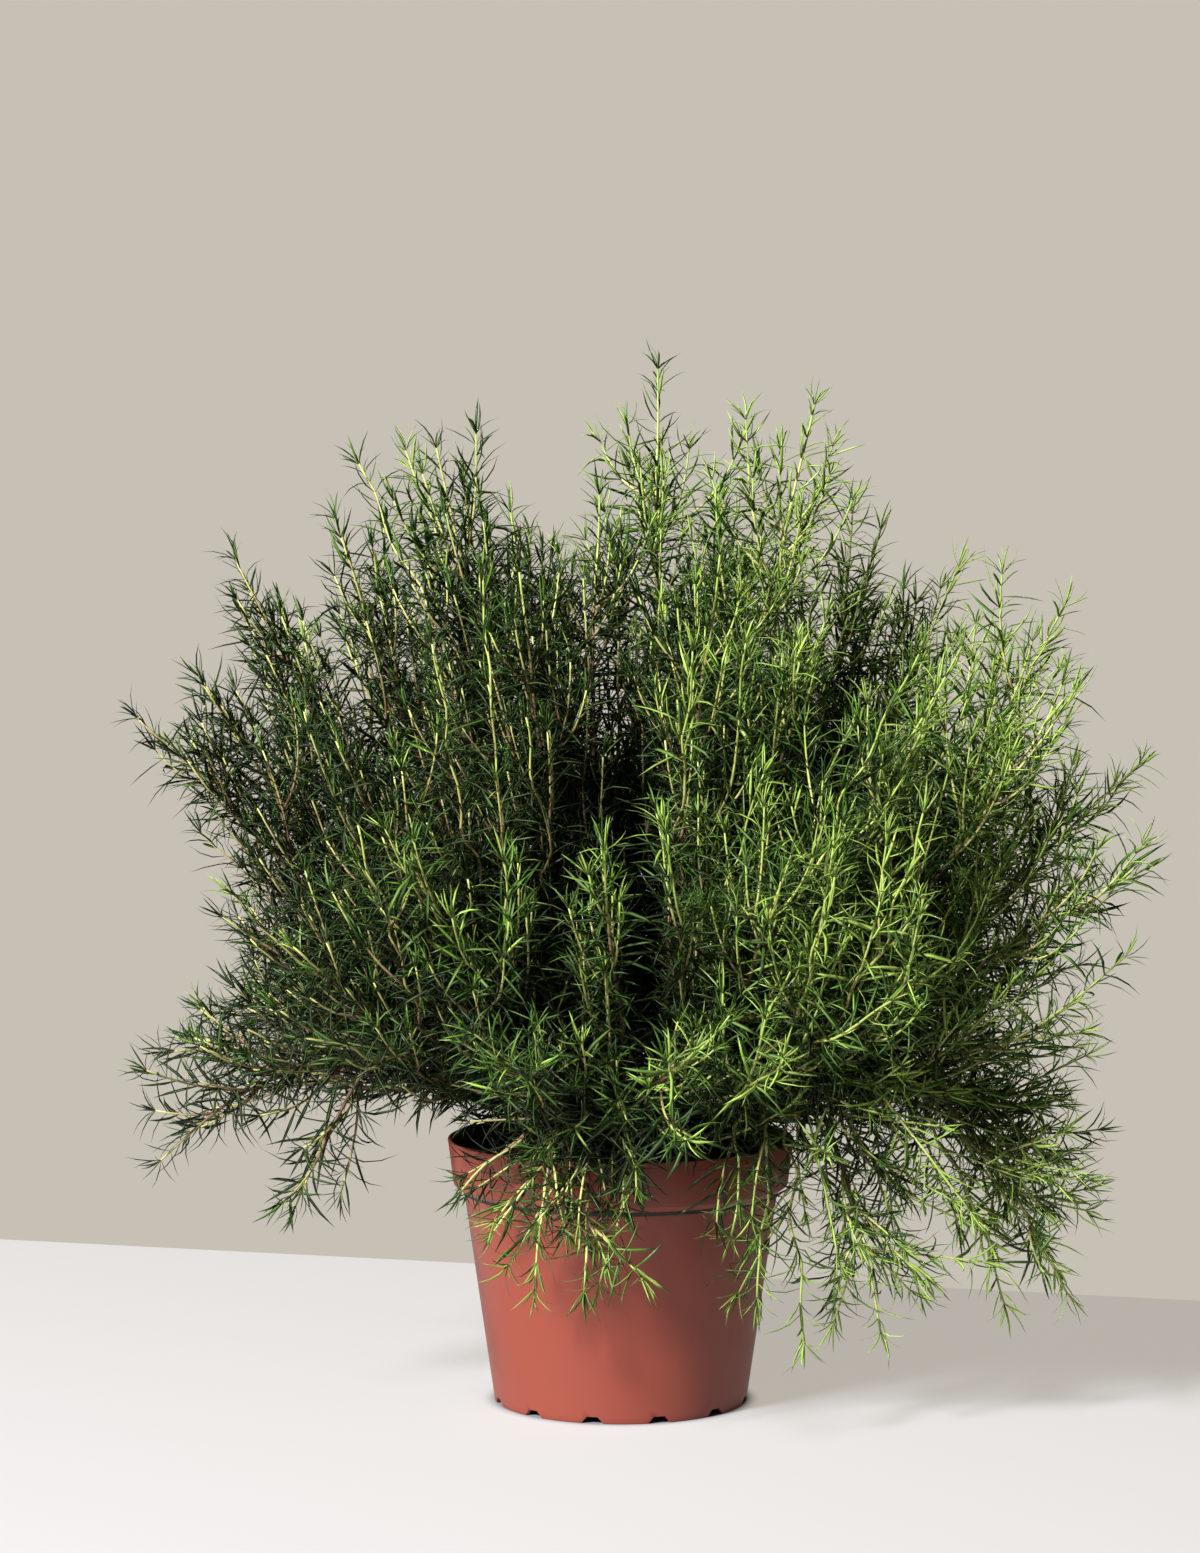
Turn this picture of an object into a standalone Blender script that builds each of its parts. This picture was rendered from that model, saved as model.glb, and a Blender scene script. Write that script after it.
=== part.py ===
"""Potted rosemary: a plastic nursery pot, its potting mix, the woody stems and the leafy branches.

Lengths are in metres and +Z is up. The origin is the centre of the pot's flat underside, and the pot's axis
is Z. +X is the plant's right and -Y its front.
"""

import math
from typing import NamedTuple

import bmesh
import bpy
import numpy as np
from mathutils import Vector

# Pot: a tapered wall under a wider collar, on a foot ring and a flat centre pad.
POT_HEIGHT = 0.152
RIM_RADIUS = 0.100
COLLAR_HEIGHT = 0.026
COLLAR_FOOT_RADIUS = 0.0966
LEDGE_DROP = 0.0045
BODY_TOP_RADIUS = 0.0906
BASE_RADIUS = 0.073
WALL = 0.0018
FLOOR = 0.0024
FOOT_WIDTH = 0.0026
CHANNEL_DEPTH = 0.005
PAD_RADIUS = 0.050
CHAMFER = 0.001
LIP_STEPS = 4
TURNED_STEPS = 48

# Drainage: notches through the foot ring, and holes through the floor of the channel behind it.
NOTCH_COUNT = 12
NOTCH_WIDTH = 0.013
NOTCH_HEIGHT = 0.004
NOTCH_DEPTH = 0.012
FIRST_NOTCH = math.radians(-103)
HOLE_COUNT = 6
HOLE_RADIUS = 0.004
HOLE_RING_RADIUS = 0.061
HOLE_SIDES = 16

# Potting mix: fills the pot to a little under its rim, slightly mounded.
GAP = 0.0003
MIX_EDGE_HEIGHT = 0.139
MIX_CROWN_HEIGHT = 0.1425
MIX_CROWN_RADIUS = 0.060

# Woody stems: a short trunk that forks, with one bare limb for each leafy branch.
TRUNK_FOOT_RADIUS = 0.0060
TRUNK_TOP_RADIUS = 0.0048
FORK_HEIGHT = 0.170
FORK_SPREAD = 1.15
LIMB_FOOT_RADIUS = 0.0030
LIMB_TIP_RADIUS = 0.0022
LIMB_LENGTH = 0.055
LIMB_POINTS = 6
LIMB_TO_LEAVES = 0.0008
END_STEP = 0.003

# Leafy branches: the space that the leaves fill around each branch.
LEAF_REACH = 0.022
LEAFY_POINTS = 10
SWELL_START = 0.3
SWELL_RATE = 3.0
TIP_SHARE = 0.16
TIP_RATE = 4.5
BRANCH_SPACE = 0.0012
SMALLEST_REACH = 0.0034
LINE_SAMPLES = 90


class Branch(NamedTuple):
    """A branch's tip, and how far its middle stands above the straight line from the fork to the tip."""

    tip: tuple
    arch: float


class Stem(NamedTuple):
    """A woody stem: where it leaves the potting mix, and the branches that it carries."""

    name: str
    foot: tuple
    branches: tuple


STEMS = (
    Stem("left", (-0.056, -0.004), (
        Branch((-0.284, -0.012, 0.402), 0.006),
        Branch((-0.252, 0.040, 0.425), 0.000),
        Branch((-0.238, -0.036, 0.292), -0.004),
        Branch((-0.280, 0.010, 0.200), 0.010),
        Branch((-0.266, -0.096, 0.142), 0.046),
        Branch((-0.186, -0.110, 0.112), 0.074),
        Branch((-0.252, 0.070, 0.215), 0.018),
    )),
    Stem("left_back", (-0.040, 0.040), (
        Branch((-0.234, 0.070, 0.498), -0.012),
        Branch((-0.172, 0.060, 0.522), -0.004),
        Branch((-0.212, 0.150, 0.350), -0.010),
        Branch((-0.128, 0.172, 0.450), -0.010),
    )),
    Stem("left_front", (-0.042, -0.036), (
        Branch((-0.162, -0.118, 0.400), -0.010),
        Branch((-0.188, -0.140, 0.285), -0.006),
        Branch((-0.112, -0.188, 0.330), -0.010),
    )),
    Stem("centre_left", (-0.018, 0.004), (
        Branch((-0.108, -0.016, 0.562), 0.000),
        Branch((-0.066, 0.062, 0.525), 0.000),
        Branch((-0.058, -0.078, 0.490), -0.006),
        Branch((-0.012, 0.010, 0.535), 0.000),
    )),
    Stem("centre_right", (0.018, 0.004), (
        Branch((0.022, 0.060, 0.612), 0.000),
        Branch((0.114, 0.000, 0.588), 0.000),
        Branch((0.070, 0.098, 0.520), -0.004),
        Branch((0.056, -0.070, 0.500), -0.006),
        Branch((0.115, -0.095, 0.462), -0.008),
    )),
    Stem("right_back", (0.040, 0.040), (
        Branch((0.156, 0.050, 0.515), -0.008),
        Branch((0.206, 0.078, 0.494), -0.014),
        Branch((0.222, 0.150, 0.350), -0.012),
        Branch((0.148, 0.190, 0.425), -0.012),
    )),
    Stem("right", (0.056, 0.004), (
        Branch((0.264, 0.026, 0.470), -0.016),
        Branch((0.262, -0.040, 0.420), -0.012),
        Branch((0.308, 0.012, 0.375), -0.008),
        Branch((0.308, -0.046, 0.318), 0.000),
        Branch((0.280, 0.046, 0.250), 0.006),
    )),
    Stem("right_low", (0.050, -0.028), (
        Branch((0.264, -0.096, 0.225), 0.006),
        Branch((0.266, 0.008, 0.110), 0.044),
        Branch((0.264, -0.042, 0.046), 0.086),
        Branch((0.148, -0.104, 0.034), 0.090),
    )),
    Stem("right_front", (0.030, -0.044), (
        Branch((0.172, -0.130, 0.410), -0.010),
        Branch((0.186, -0.172, 0.280), -0.006),
        Branch((0.092, -0.195, 0.340), -0.012),
    )),
    Stem("front", (0.000, -0.054), (
        Branch((-0.010, -0.212, 0.345), -0.016),
        Branch((0.042, -0.206, 0.232), 0.000),
        Branch((-0.068, -0.210, 0.225), 0.000),
        Branch((-0.022, -0.150, 0.060), 0.086),
    )),
    Stem("back", (0.000, 0.054), (
        Branch((0.006, 0.225, 0.375), -0.014),
        Branch((-0.082, 0.236, 0.250), 0.000),
        Branch((0.086, 0.236, 0.255), 0.000),
        Branch((0.010, 0.228, 0.140), 0.050),
    )),
)

MIX_COLOUR = (0.028, 0.020, 0.015)
POT_COLOUR = (0.42, 0.105, 0.066)
BARK_COLOUR = (0.16, 0.085, 0.045)
LEAF_COLOUR = (0.045, 0.105, 0.022)


def clear_scene():
    """Removes the startup objects."""
    for obj in list(bpy.data.objects):
        bpy.data.objects.remove(obj, do_unlink=True)


def new_collection(name, hidden=False):
    """Makes a collection in the scene. A hidden one holds cutters and other helpers."""
    collection = bpy.data.collections.new(name)
    collection.hide_render = hidden
    bpy.context.scene.collection.children.link(collection)
    return collection


def new_material(name, colour, roughness):
    """Makes a plain, non-metallic material."""
    material = bpy.data.materials.new(name)
    material.use_nodes = True
    shader = material.node_tree.nodes["Principled BSDF"]
    shader.inputs["Base Color"].default_value = (*colour, 1.0)
    shader.inputs["Roughness"].default_value = roughness
    shader.inputs["Metallic"].default_value = 0.0
    return material


def add_object(name, data, collection, material=None):
    """Links a new object for this mesh or curve."""
    obj = bpy.data.objects.new(name, data)
    collection.objects.link(obj)
    if material:
        data.materials.append(material)
    return obj


def as_helper(obj):
    """Keeps an object out of the render and draws it as wire."""
    obj.hide_render = True
    obj.display_type = "WIRE"
    return obj


def turned_object(name, profile, collection, material):
    """Turns a profile of (radius, height) points round the Z axis into a closed solid."""
    mesh = bpy.data.meshes.new(name)
    bm = bmesh.new()
    rings = [bm.verts.new((radius, 0.0, height)) for radius, height in profile]
    for upper, lower in zip(rings, rings[1:]):
        bm.edges.new((upper, lower))
    if profile[0][0] > 0.0:
        bm.edges.new((rings[-1], rings[0]))
    bm.to_mesh(mesh)
    bm.free()
    obj = add_object(name, mesh, collection, material)
    turn = obj.modifiers.new("turn", "SCREW")
    turn.steps = TURNED_STEPS
    turn.render_steps = TURNED_STEPS
    turn.use_merge_vertices = True
    turn.merge_threshold = 1e-5
    return obj


def wall_radius(height):
    """Outer radius of the pot's tapered wall, below its collar."""
    ledge_foot = POT_HEIGHT - COLLAR_HEIGHT - LEDGE_DROP
    return BASE_RADIUS + (BODY_TOP_RADIUS - BASE_RADIUS) * height / ledge_foot


def lip_points():
    """The rounded top edge of the pot, from outside to inside."""
    radius = WALL / 2
    centre = (RIM_RADIUS - radius, POT_HEIGHT - radius)
    angles = [math.pi * step / LIP_STEPS for step in range(LIP_STEPS + 1)]
    return [(centre[0] + radius * math.cos(a), centre[1] + radius * math.sin(a)) for a in angles]


def pot_profile():
    """The pot's section: down its outside, across its underside and up its inside."""
    collar_foot = POT_HEIGHT - COLLAR_HEIGHT
    ledge_foot = collar_foot - LEDGE_DROP
    channel_floor = CHANNEL_DEPTH + FLOOR
    lip = lip_points()
    outside = [
        *lip[::-1],
        (COLLAR_FOOT_RADIUS, collar_foot),
        (BODY_TOP_RADIUS, ledge_foot),
        (wall_radius(CHAMFER), CHAMFER),
        (BASE_RADIUS - CHAMFER, 0.0),
    ]
    underside = [
        (BASE_RADIUS - FOOT_WIDTH, 0.0),
        (BASE_RADIUS - FOOT_WIDTH, CHANNEL_DEPTH),
        (PAD_RADIUS + CHAMFER, CHANNEL_DEPTH),
        (PAD_RADIUS, 0.0),
        (0.0, 0.0),
    ]
    inside = [
        (0.0, FLOOR),
        (PAD_RADIUS - WALL, FLOOR),
        (PAD_RADIUS + CHAMFER - WALL, channel_floor),
        (wall_radius(channel_floor) - WALL, channel_floor),
        (BODY_TOP_RADIUS - WALL, ledge_foot + WALL),
        (COLLAR_FOOT_RADIUS - WALL, collar_foot + WALL),
    ]
    return outside + underside + inside


def mix_profile():
    """The potting mix's section, a gap inside the pot's wall and floor, from its crown down."""
    collar_foot = POT_HEIGHT - COLLAR_HEIGHT + WALL
    ledge_foot = collar_foot - LEDGE_DROP
    floor = CHANNEL_DEPTH + FLOOR + GAP
    inset = WALL + 2 * GAP
    collar_slope = (RIM_RADIUS - COLLAR_FOOT_RADIUS) / COLLAR_HEIGHT
    edge_radius = COLLAR_FOOT_RADIUS - inset + collar_slope * (MIX_EDGE_HEIGHT - collar_foot)
    return [
        (0.0, MIX_CROWN_HEIGHT),
        (MIX_CROWN_RADIUS, MIX_CROWN_HEIGHT),
        (edge_radius, MIX_EDGE_HEIGHT),
        (COLLAR_FOOT_RADIUS - inset, collar_foot + GAP),
        (BODY_TOP_RADIUS - inset, ledge_foot + GAP),
        (wall_radius(floor) - inset, floor),
        (0.0, floor),
    ]


def box_mesh(name, size):
    """A box mesh of this size, centred on its own origin."""
    mesh = bpy.data.meshes.new(name)
    bm = bmesh.new()
    bmesh.ops.create_cube(bm, size=1.0)
    bmesh.ops.scale(bm, vec=size, verts=bm.verts)
    bm.to_mesh(mesh)
    bm.free()
    return mesh


def rod_mesh(name, radius, length):
    """An upright round rod, centred on its own origin."""
    mesh = bpy.data.meshes.new(name)
    bm = bmesh.new()
    bmesh.ops.create_cone(
        bm, cap_ends=True, segments=HOLE_SIDES, radius1=radius, radius2=radius, depth=length
    )
    bm.to_mesh(mesh)
    bm.free()
    return mesh


def add_boolean(obj, name, operation, operands):
    """Cuts a collection of solids from an object, or joins them to it."""
    boolean = obj.modifiers.new(name, "BOOLEAN")
    boolean.operation = operation
    boolean.operand_type = "COLLECTION"
    boolean.collection = operands
    boolean.solver = "EXACT"


def cut_drainage(pot):
    """Cuts the notches in the pot's foot ring and the holes in the floor of its channel."""
    cutters = new_collection("drainage_cutters", hidden=True)
    notch = box_mesh("notch_cutter", (2 * NOTCH_DEPTH, NOTCH_WIDTH, 2 * NOTCH_HEIGHT))
    for index in range(NOTCH_COUNT):
        angle = FIRST_NOTCH + 2 * math.pi * index / NOTCH_COUNT
        cutter = as_helper(add_object(f"notch_cutter_{index + 1}", notch, cutters))
        cutter.location = (BASE_RADIUS * math.cos(angle), BASE_RADIUS * math.sin(angle), 0.0)
        cutter.rotation_euler = (0.0, 0.0, angle)
    hole = rod_mesh("hole_cutter", HOLE_RADIUS, 4 * CHANNEL_DEPTH)
    for index in range(HOLE_COUNT):
        angle = FIRST_NOTCH + 2 * math.pi * (index + 0.5) / HOLE_COUNT
        cutter = as_helper(add_object(f"hole_cutter_{index + 1}", hole, cutters))
        place = (HOLE_RING_RADIUS * math.cos(angle), HOLE_RING_RADIUS * math.sin(angle), CHANNEL_DEPTH)
        cutter.location = place
    add_boolean(pot, "drainage", "DIFFERENCE", cutters)


def round_shading(obj):
    """Shades a turned piece smooth, with sharp edges kept."""
    obj.data.shade_smooth()
    obj.data.set_sharp_from_angle(angle=math.radians(30))


def fork_of(stem):
    """The point where the stem's trunk divides into limbs."""
    return Vector((stem.foot[0] * FORK_SPREAD, stem.foot[1] * FORK_SPREAD, FORK_HEIGHT))


def branch_line(stem, branch):
    """Evenly spaced points along a branch, from the fork to its tip, as an array of rows."""
    start = np.array(fork_of(stem))
    end = np.array(branch.tip)
    middle = (start + end) / 2 + np.array((0.0, 0.0, 2 * branch.arch))
    t = np.linspace(0.0, 1.0, LINE_SAMPLES)[:, None]
    curve = (1 - t) ** 2 * start + 2 * t * (1 - t) * middle + t**2 * end
    run = np.concatenate([[0.0], np.cumsum(np.linalg.norm(np.diff(curve, axis=0), axis=1))])
    even = np.linspace(0.0, run[-1], LINE_SAMPLES)
    return np.stack([np.interp(even, run, curve[:, axis]) for axis in range(3)], axis=1)


def points_on(line, lengths):
    """The points of a line at these lengths, measured along it from its start."""
    step = np.linalg.norm(np.diff(line, axis=0), axis=1)
    run = np.concatenate([[0.0], np.cumsum(step)])
    return np.stack([np.interp(lengths, run, line[:, axis]) for axis in range(3)], axis=1)


def limb_points(line):
    """The bare limb's points. Its last step is short, so that its end faces along the line."""
    return points_on(line, [*np.linspace(0.0, LIMB_LENGTH - END_STEP, LIMB_POINTS - 1), LIMB_LENGTH])


def leafy_points(line):
    """The leafy stretch's points, just past the limb. Its first step is short, as the limb's last is."""
    start = LIMB_LENGTH + LIMB_TO_LEAVES
    return points_on(line, [start, *np.linspace(start + END_STEP, length_of(line), LEAFY_POINTS - 1)])


def length_of(line):
    """The length of a line of points."""
    return float(np.linalg.norm(np.diff(line, axis=0), axis=1).sum())


def pot_distance(points):
    """How far points are from the full pot, taken as a cylinder."""
    outside = np.maximum(np.hypot(points[:, 0], points[:, 1]) - RIM_RADIUS, 0.0)
    above = np.maximum(points[:, 2] - POT_HEIGHT, 0.0)
    return np.hypot(outside, above)


def leaf_reach(points, others):
    """How far the leaves reach round each point: full along the branch, less at its ends and near others."""
    along = np.linspace(0.0, 1.0, len(points))
    swell = np.minimum(1.0, SWELL_START + SWELL_RATE * along)
    narrow = np.minimum(1.0, TIP_SHARE + TIP_RATE * (1.0 - along))
    gaps = np.linalg.norm(points[:, None, :] - others[None, :, :], axis=2).min(axis=1)
    free = np.minimum(gaps / 2, pot_distance(points)) - BRANCH_SPACE
    free = np.minimum(free, points[:, 2] - BRANCH_SPACE)
    return np.maximum(np.minimum(LEAF_REACH * swell * narrow, free), SMALLEST_REACH)


def tube_curve(name, points, radii, sides_level):
    """A curve through the points, with a round section of the given radius at each and closed ends."""
    curve = bpy.data.curves.new(name, "CURVE")
    curve.dimensions = "3D"
    curve.bevel_depth = 1.0
    curve.bevel_resolution = sides_level
    curve.use_fill_caps = True
    spline = curve.splines.new("POLY")
    spline.points.add(len(points) - 1)
    for place, point, radius in zip(spline.points, points, radii):
        place.co = (*point, 1.0)
        place.radius = radius
    return curve


def curve_to_mesh(obj, collection):
    """Replaces a curve object with a closed mesh object of the same name and place."""
    graph = bpy.context.evaluated_depsgraph_get()
    mesh = bpy.data.meshes.new_from_object(obj.evaluated_get(graph))
    bm = bmesh.new()
    bm.from_mesh(mesh)
    bmesh.ops.remove_doubles(bm, verts=bm.verts, dist=1e-6)
    bmesh.ops.recalc_face_normals(bm, faces=bm.faces)
    bm.to_mesh(mesh)
    bm.free()
    name = obj.name
    place = obj.matrix_world.copy()
    bpy.data.objects.remove(obj, do_unlink=True)
    solid = add_object(name, mesh, collection)
    solid.matrix_world = place
    return solid


def make_stem(stem, lines, plant, bark):
    """Makes a stem's trunk and a collection of its bare limbs, and returns both."""
    fork = fork_of(stem)
    foot = Vector((*stem.foot, MIX_CROWN_HEIGHT + GAP))
    top = fork + (fork - foot).normalized() * TRUNK_TOP_RADIUS / 2
    name = f"woody_stem_{stem.name}"
    trunk_points = [foot, foot + Vector((0.0, 0.0, END_STEP)), foot.lerp(fork, 0.5), top]
    trunk_radii = [TRUNK_FOOT_RADIUS, TRUNK_FOOT_RADIUS, TRUNK_TOP_RADIUS, TRUNK_TOP_RADIUS]
    trunk_curve = tube_curve(name, trunk_points, trunk_radii, 2)
    trunk = curve_to_mesh(add_object(name, trunk_curve, plant), plant)
    trunk.data.materials.append(bark)
    limbs = new_collection(f"limbs_{stem.name}", hidden=True)
    radii = np.linspace(LIMB_FOOT_RADIUS, LIMB_TIP_RADIUS, LIMB_POINTS)
    for index, line in enumerate(lines):
        limb_name = f"limb_{stem.name}_{index + 1}"
        limb_curve = tube_curve(limb_name, limb_points(line), radii, 1)
        as_helper(curve_to_mesh(add_object(limb_name, limb_curve, limbs), limbs))
    return trunk, limbs


def make_branches(stem, lines, everyone, plant, leaves):
    """Makes the solid that the leaves of each of a stem's branches fill."""
    for index, line in enumerate(lines):
        points = leafy_points(line)
        others = np.concatenate([other for other in everyone if other is not line])
        name = f"leafy_branch_{stem.name}_{index + 1}"
        curve = tube_curve(name, points, leaf_reach(points, others), 2)
        add_object(name, curve, plant, leaves)


def main():
    """Builds the pot, its potting mix, the stems and the branches."""
    clear_scene()
    plant = new_collection("potted_rosemary")
    plastic = new_material("pot_plastic", POT_COLOUR, 0.48)
    pot = turned_object("pot", pot_profile(), plant, plastic)
    round_shading(pot)
    mix = turned_object("potting_mix", mix_profile(), plant, new_material("potting_mix", MIX_COLOUR, 0.95))
    round_shading(mix)
    bark = new_material("bark", BARK_COLOUR, 0.80)
    leaves = new_material("leaves", LEAF_COLOUR, 0.55)
    lines = {stem.name: [branch_line(stem, branch) for branch in stem.branches] for stem in STEMS}
    everyone = [line for group in lines.values() for line in group]
    stems = []
    for stem in STEMS:
        stems.append(make_stem(stem, lines[stem.name], plant, bark))
        make_branches(stem, lines[stem.name], everyone, plant, leaves)
    # Booleans come last, because each curve above is evaluated with the whole scene.
    cut_drainage(pot)
    for trunk, limbs in stems:
        add_boolean(trunk, "limbs", "UNION", limbs)


main()
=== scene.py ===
"""Potted rosemary: a moulded nursery pot, its potting mix, the woody stems and every leafy shoot.

The plant is grown branch by branch. Each branch follows a smooth line from the fork of its woody stem to its
tip, carries side shoots, and every shoot bears pairs of narrow leaves with smaller ones in their axils.
Lengths are in metres, +Z is up, +X is the plant's right and -Y its front.
"""

import logging
import math
import random
from dataclasses import dataclass, field, replace
from enum import Enum
from typing import Any, Iterable, Sequence

import bmesh
import bpy
from mathutils import Matrix, Vector, noise


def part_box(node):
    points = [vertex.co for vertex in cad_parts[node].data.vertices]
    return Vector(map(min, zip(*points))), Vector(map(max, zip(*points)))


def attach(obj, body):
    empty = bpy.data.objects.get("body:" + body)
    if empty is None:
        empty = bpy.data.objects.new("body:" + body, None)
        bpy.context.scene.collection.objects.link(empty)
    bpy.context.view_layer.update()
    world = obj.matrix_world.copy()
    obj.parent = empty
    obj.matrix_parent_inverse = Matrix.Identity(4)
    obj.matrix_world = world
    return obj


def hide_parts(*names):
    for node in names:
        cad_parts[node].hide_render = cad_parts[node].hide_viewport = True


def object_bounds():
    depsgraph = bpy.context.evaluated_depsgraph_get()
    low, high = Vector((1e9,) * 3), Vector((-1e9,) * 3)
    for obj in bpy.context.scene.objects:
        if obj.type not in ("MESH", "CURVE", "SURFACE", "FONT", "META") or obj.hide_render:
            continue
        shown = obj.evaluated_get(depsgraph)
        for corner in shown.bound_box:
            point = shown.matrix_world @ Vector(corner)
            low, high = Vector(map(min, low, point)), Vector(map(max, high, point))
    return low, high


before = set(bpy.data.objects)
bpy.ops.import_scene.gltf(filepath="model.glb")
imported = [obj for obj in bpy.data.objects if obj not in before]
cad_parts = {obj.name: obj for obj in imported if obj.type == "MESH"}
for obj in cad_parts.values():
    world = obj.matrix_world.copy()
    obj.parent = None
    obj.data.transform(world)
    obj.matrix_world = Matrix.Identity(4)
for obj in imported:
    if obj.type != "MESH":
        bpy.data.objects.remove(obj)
CAD_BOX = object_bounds()

LOG = logging.getLogger("rosemary")
BODY = "root"
SURFACE_MAP = "OFBake"
UP = Vector((0.0, 0.0, 1.0))
GOLDEN_TURN = 2.4

Colour = tuple[float, float, float]
Place = tuple[float, float, float]


# ---------------------------------------------------------------------------------------------------------
# Shader tools
# ---------------------------------------------------------------------------------------------------------


class Value:
    """A number that changes over a surface. Python arithmetic on it adds Math nodes."""

    def __init__(self, shader: "Shader", socket: bpy.types.NodeSocket) -> None:
        """Wraps one output socket.

        Args:
            shader: The shader that the socket's node is in.
            socket: The output that holds the number.
        """
        self.shader = shader
        self.socket = socket

    def math(self, operation: str, *others: "Value | float", first: "Value | float | None" = None) -> "Value":
        """Adds a Math node.

        Args:
            operation: The Math node's operation.
            others: What goes in its later sockets.
            first: What goes in its first socket, if that isn't this value.

        Returns:
            The node's result.
        """
        terms = [self if first is None else first, *others]
        return self.shader.node("ShaderNodeMath", {"operation": operation}, dict(enumerate(terms)))

    def __add__(self, other: "Value | float") -> "Value":
        """This plus other."""
        return self.math("ADD", other)

    __radd__ = __add__

    def __sub__(self, other: "Value | float") -> "Value":
        """This less other."""
        return self.math("SUBTRACT", other)

    def __rsub__(self, other: float) -> "Value":
        """Other less this."""
        return self.math("SUBTRACT", self, first=other)

    def __mul__(self, other: "Value | float") -> "Value":
        """This times other."""
        return self.math("MULTIPLY", other)

    __rmul__ = __mul__

    def __truediv__(self, other: "Value | float") -> "Value":
        """This divided by other."""
        return self.math("DIVIDE", other)

    def __lt__(self, other: "Value | float") -> "Value":
        """1 where this is less than other, and 0 elsewhere."""
        return self.math("LESS_THAN", other)

    def __abs__(self) -> "Value":
        """This without its sign."""
        return self.math("ABSOLUTE")

    def floor(self) -> "Value":
        """The whole part."""
        return self.math("FLOOR")

    def clamped(self) -> "Value":
        """This, kept from 0 to 1."""
        return self.math("MAXIMUM", 0.0).math("MINIMUM", 1.0)

    def falling(self, reach: float) -> "Value":
        """1 where this is 0, down to 0 where it is reach or more."""
        return (1.0 - self / reach).clamped()


class Shader:
    """A material's node tree round its Principled shader."""

    def __init__(self, name: str) -> None:
        """Starts a material.

        Args:
            name: The material's name.
        """
        self.material = bpy.data.materials.new(name)
        self.material.use_nodes = True
        self.tree = self.material.node_tree
        self.surface = self.tree.nodes["Principled BSDF"]

    def node(
        self,
        kind: str,
        settings: dict[str, Any] | None = None,
        sockets: dict[Any, Any] | None = None,
        output: int | str = 0,
    ) -> Value:
        """Adds a node.

        Args:
            kind: The node's type.
            settings: Its own settings. Stops, for a ramp, is a list of places and colours.
            sockets: What goes in its inputs, by name or number: a value, a colour or a Value.
            output: The output wanted, by name or number.

        Returns:
            That output.
        """
        made = self.tree.nodes.new(kind)
        for name, setting in (settings or {}).items():
            if name == "stops":
                self.set_stops(made.color_ramp, setting)
            else:
                setattr(made, name, setting)
        for name, given in (sockets or {}).items():
            self.feed(made.inputs[name], given)
        return Value(self, made.outputs[output])

    def set_stops(self, ramp: bpy.types.ColorRamp, stops: Sequence[tuple[float, Colour]]) -> None:
        """Gives a ramp its stops.

        Args:
            ramp: The ramp.
            stops: The place and the colour of each stop.
        """
        while len(ramp.elements) < len(stops):
            ramp.elements.new(1.0)
        for element, (place, colour) in zip(ramp.elements, stops):
            element.position = place
            element.color = (*colour, 1.0)

    def feed(self, socket: bpy.types.NodeSocket, given: Any) -> None:
        """Sets or links an input.

        Args:
            socket: The input.
            given: A number, a colour or a Value.
        """
        if isinstance(given, Value):
            self.tree.links.new(given.socket, socket)
        elif isinstance(given, tuple) and len(given) == 3 and socket.type == "RGBA":
            socket.default_value = (*given, 1.0)
        else:
            socket.default_value = given

    def mix(self, factor: "Value | float", first: "Value | Colour", second: "Value | Colour") -> Value:
        """Blends two colours.

        Args:
            factor: The share of the second.
            first: The first colour.
            second: The second colour.

        Returns:
            The blended colour.
        """
        sockets = {0: factor, 6: first, 7: second}
        return self.node("ShaderNodeMix", {"data_type": "RGBA"}, sockets, 2)

    def brightened(self, colour: Value, amount: Value) -> Value:
        """Multiplies a colour by a number.

        Args:
            colour: The colour.
            amount: The number.

        Returns:
            The brighter or darker colour.
        """
        sockets = {0: colour, "Scale": amount}
        return self.node("ShaderNodeVectorMath", {"operation": "SCALE"}, sockets)

    def noise(self, scale: float, detail: float, vector: Value | None = None, output: int = 0) -> Value:
        """Adds a Noise Texture.

        Args:
            scale: Its scale.
            detail: Its detail.
            vector: The coordinates. Left out, they are the object's own.
            output: 0 for the value and 1 for the colour.

        Returns:
            The noise.
        """
        if vector is None:
            vector = self.node("ShaderNodeTexCoord", output="Object")
        sockets = {"Vector": vector, "Scale": scale, "Detail": detail}
        return self.node("ShaderNodeTexNoise", {}, sockets, output)

    def along_and_across(self) -> tuple[Value, Value]:
        """The two coordinates of the piece's own surface map."""
        mapped = self.node("ShaderNodeUVMap", {"uv_map": SURFACE_MAP})
        across = self.node("ShaderNodeSeparateXYZ", {}, {0: mapped}, 0)
        along = self.node("ShaderNodeSeparateXYZ", {}, {0: mapped}, 1)
        return across, along

    def bump(self, height: Value, distance: float, strength: float) -> None:
        """Roughens the surface.

        Args:
            height: The height, from 0 to 1.
            distance: How tall 1 is.
            strength: How much of it shows.
        """
        sockets = {"Height": height, "Distance": distance, "Strength": strength}
        self.feed(self.surface.inputs["Normal"], self.node("ShaderNodeBump", {}, sockets))

    def finish(self, **inputs: Any) -> bpy.types.Material:
        """Sets the Principled shader's inputs.

        Args:
            inputs: A value for each input, by name, with _ for a space.

        Returns:
            The material.
        """
        for name, given in inputs.items():
            self.feed(self.surface.inputs[name.replace("_", " ")], given)
        return self.material


# ---------------------------------------------------------------------------------------------------------
# Finishes
# ---------------------------------------------------------------------------------------------------------


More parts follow.
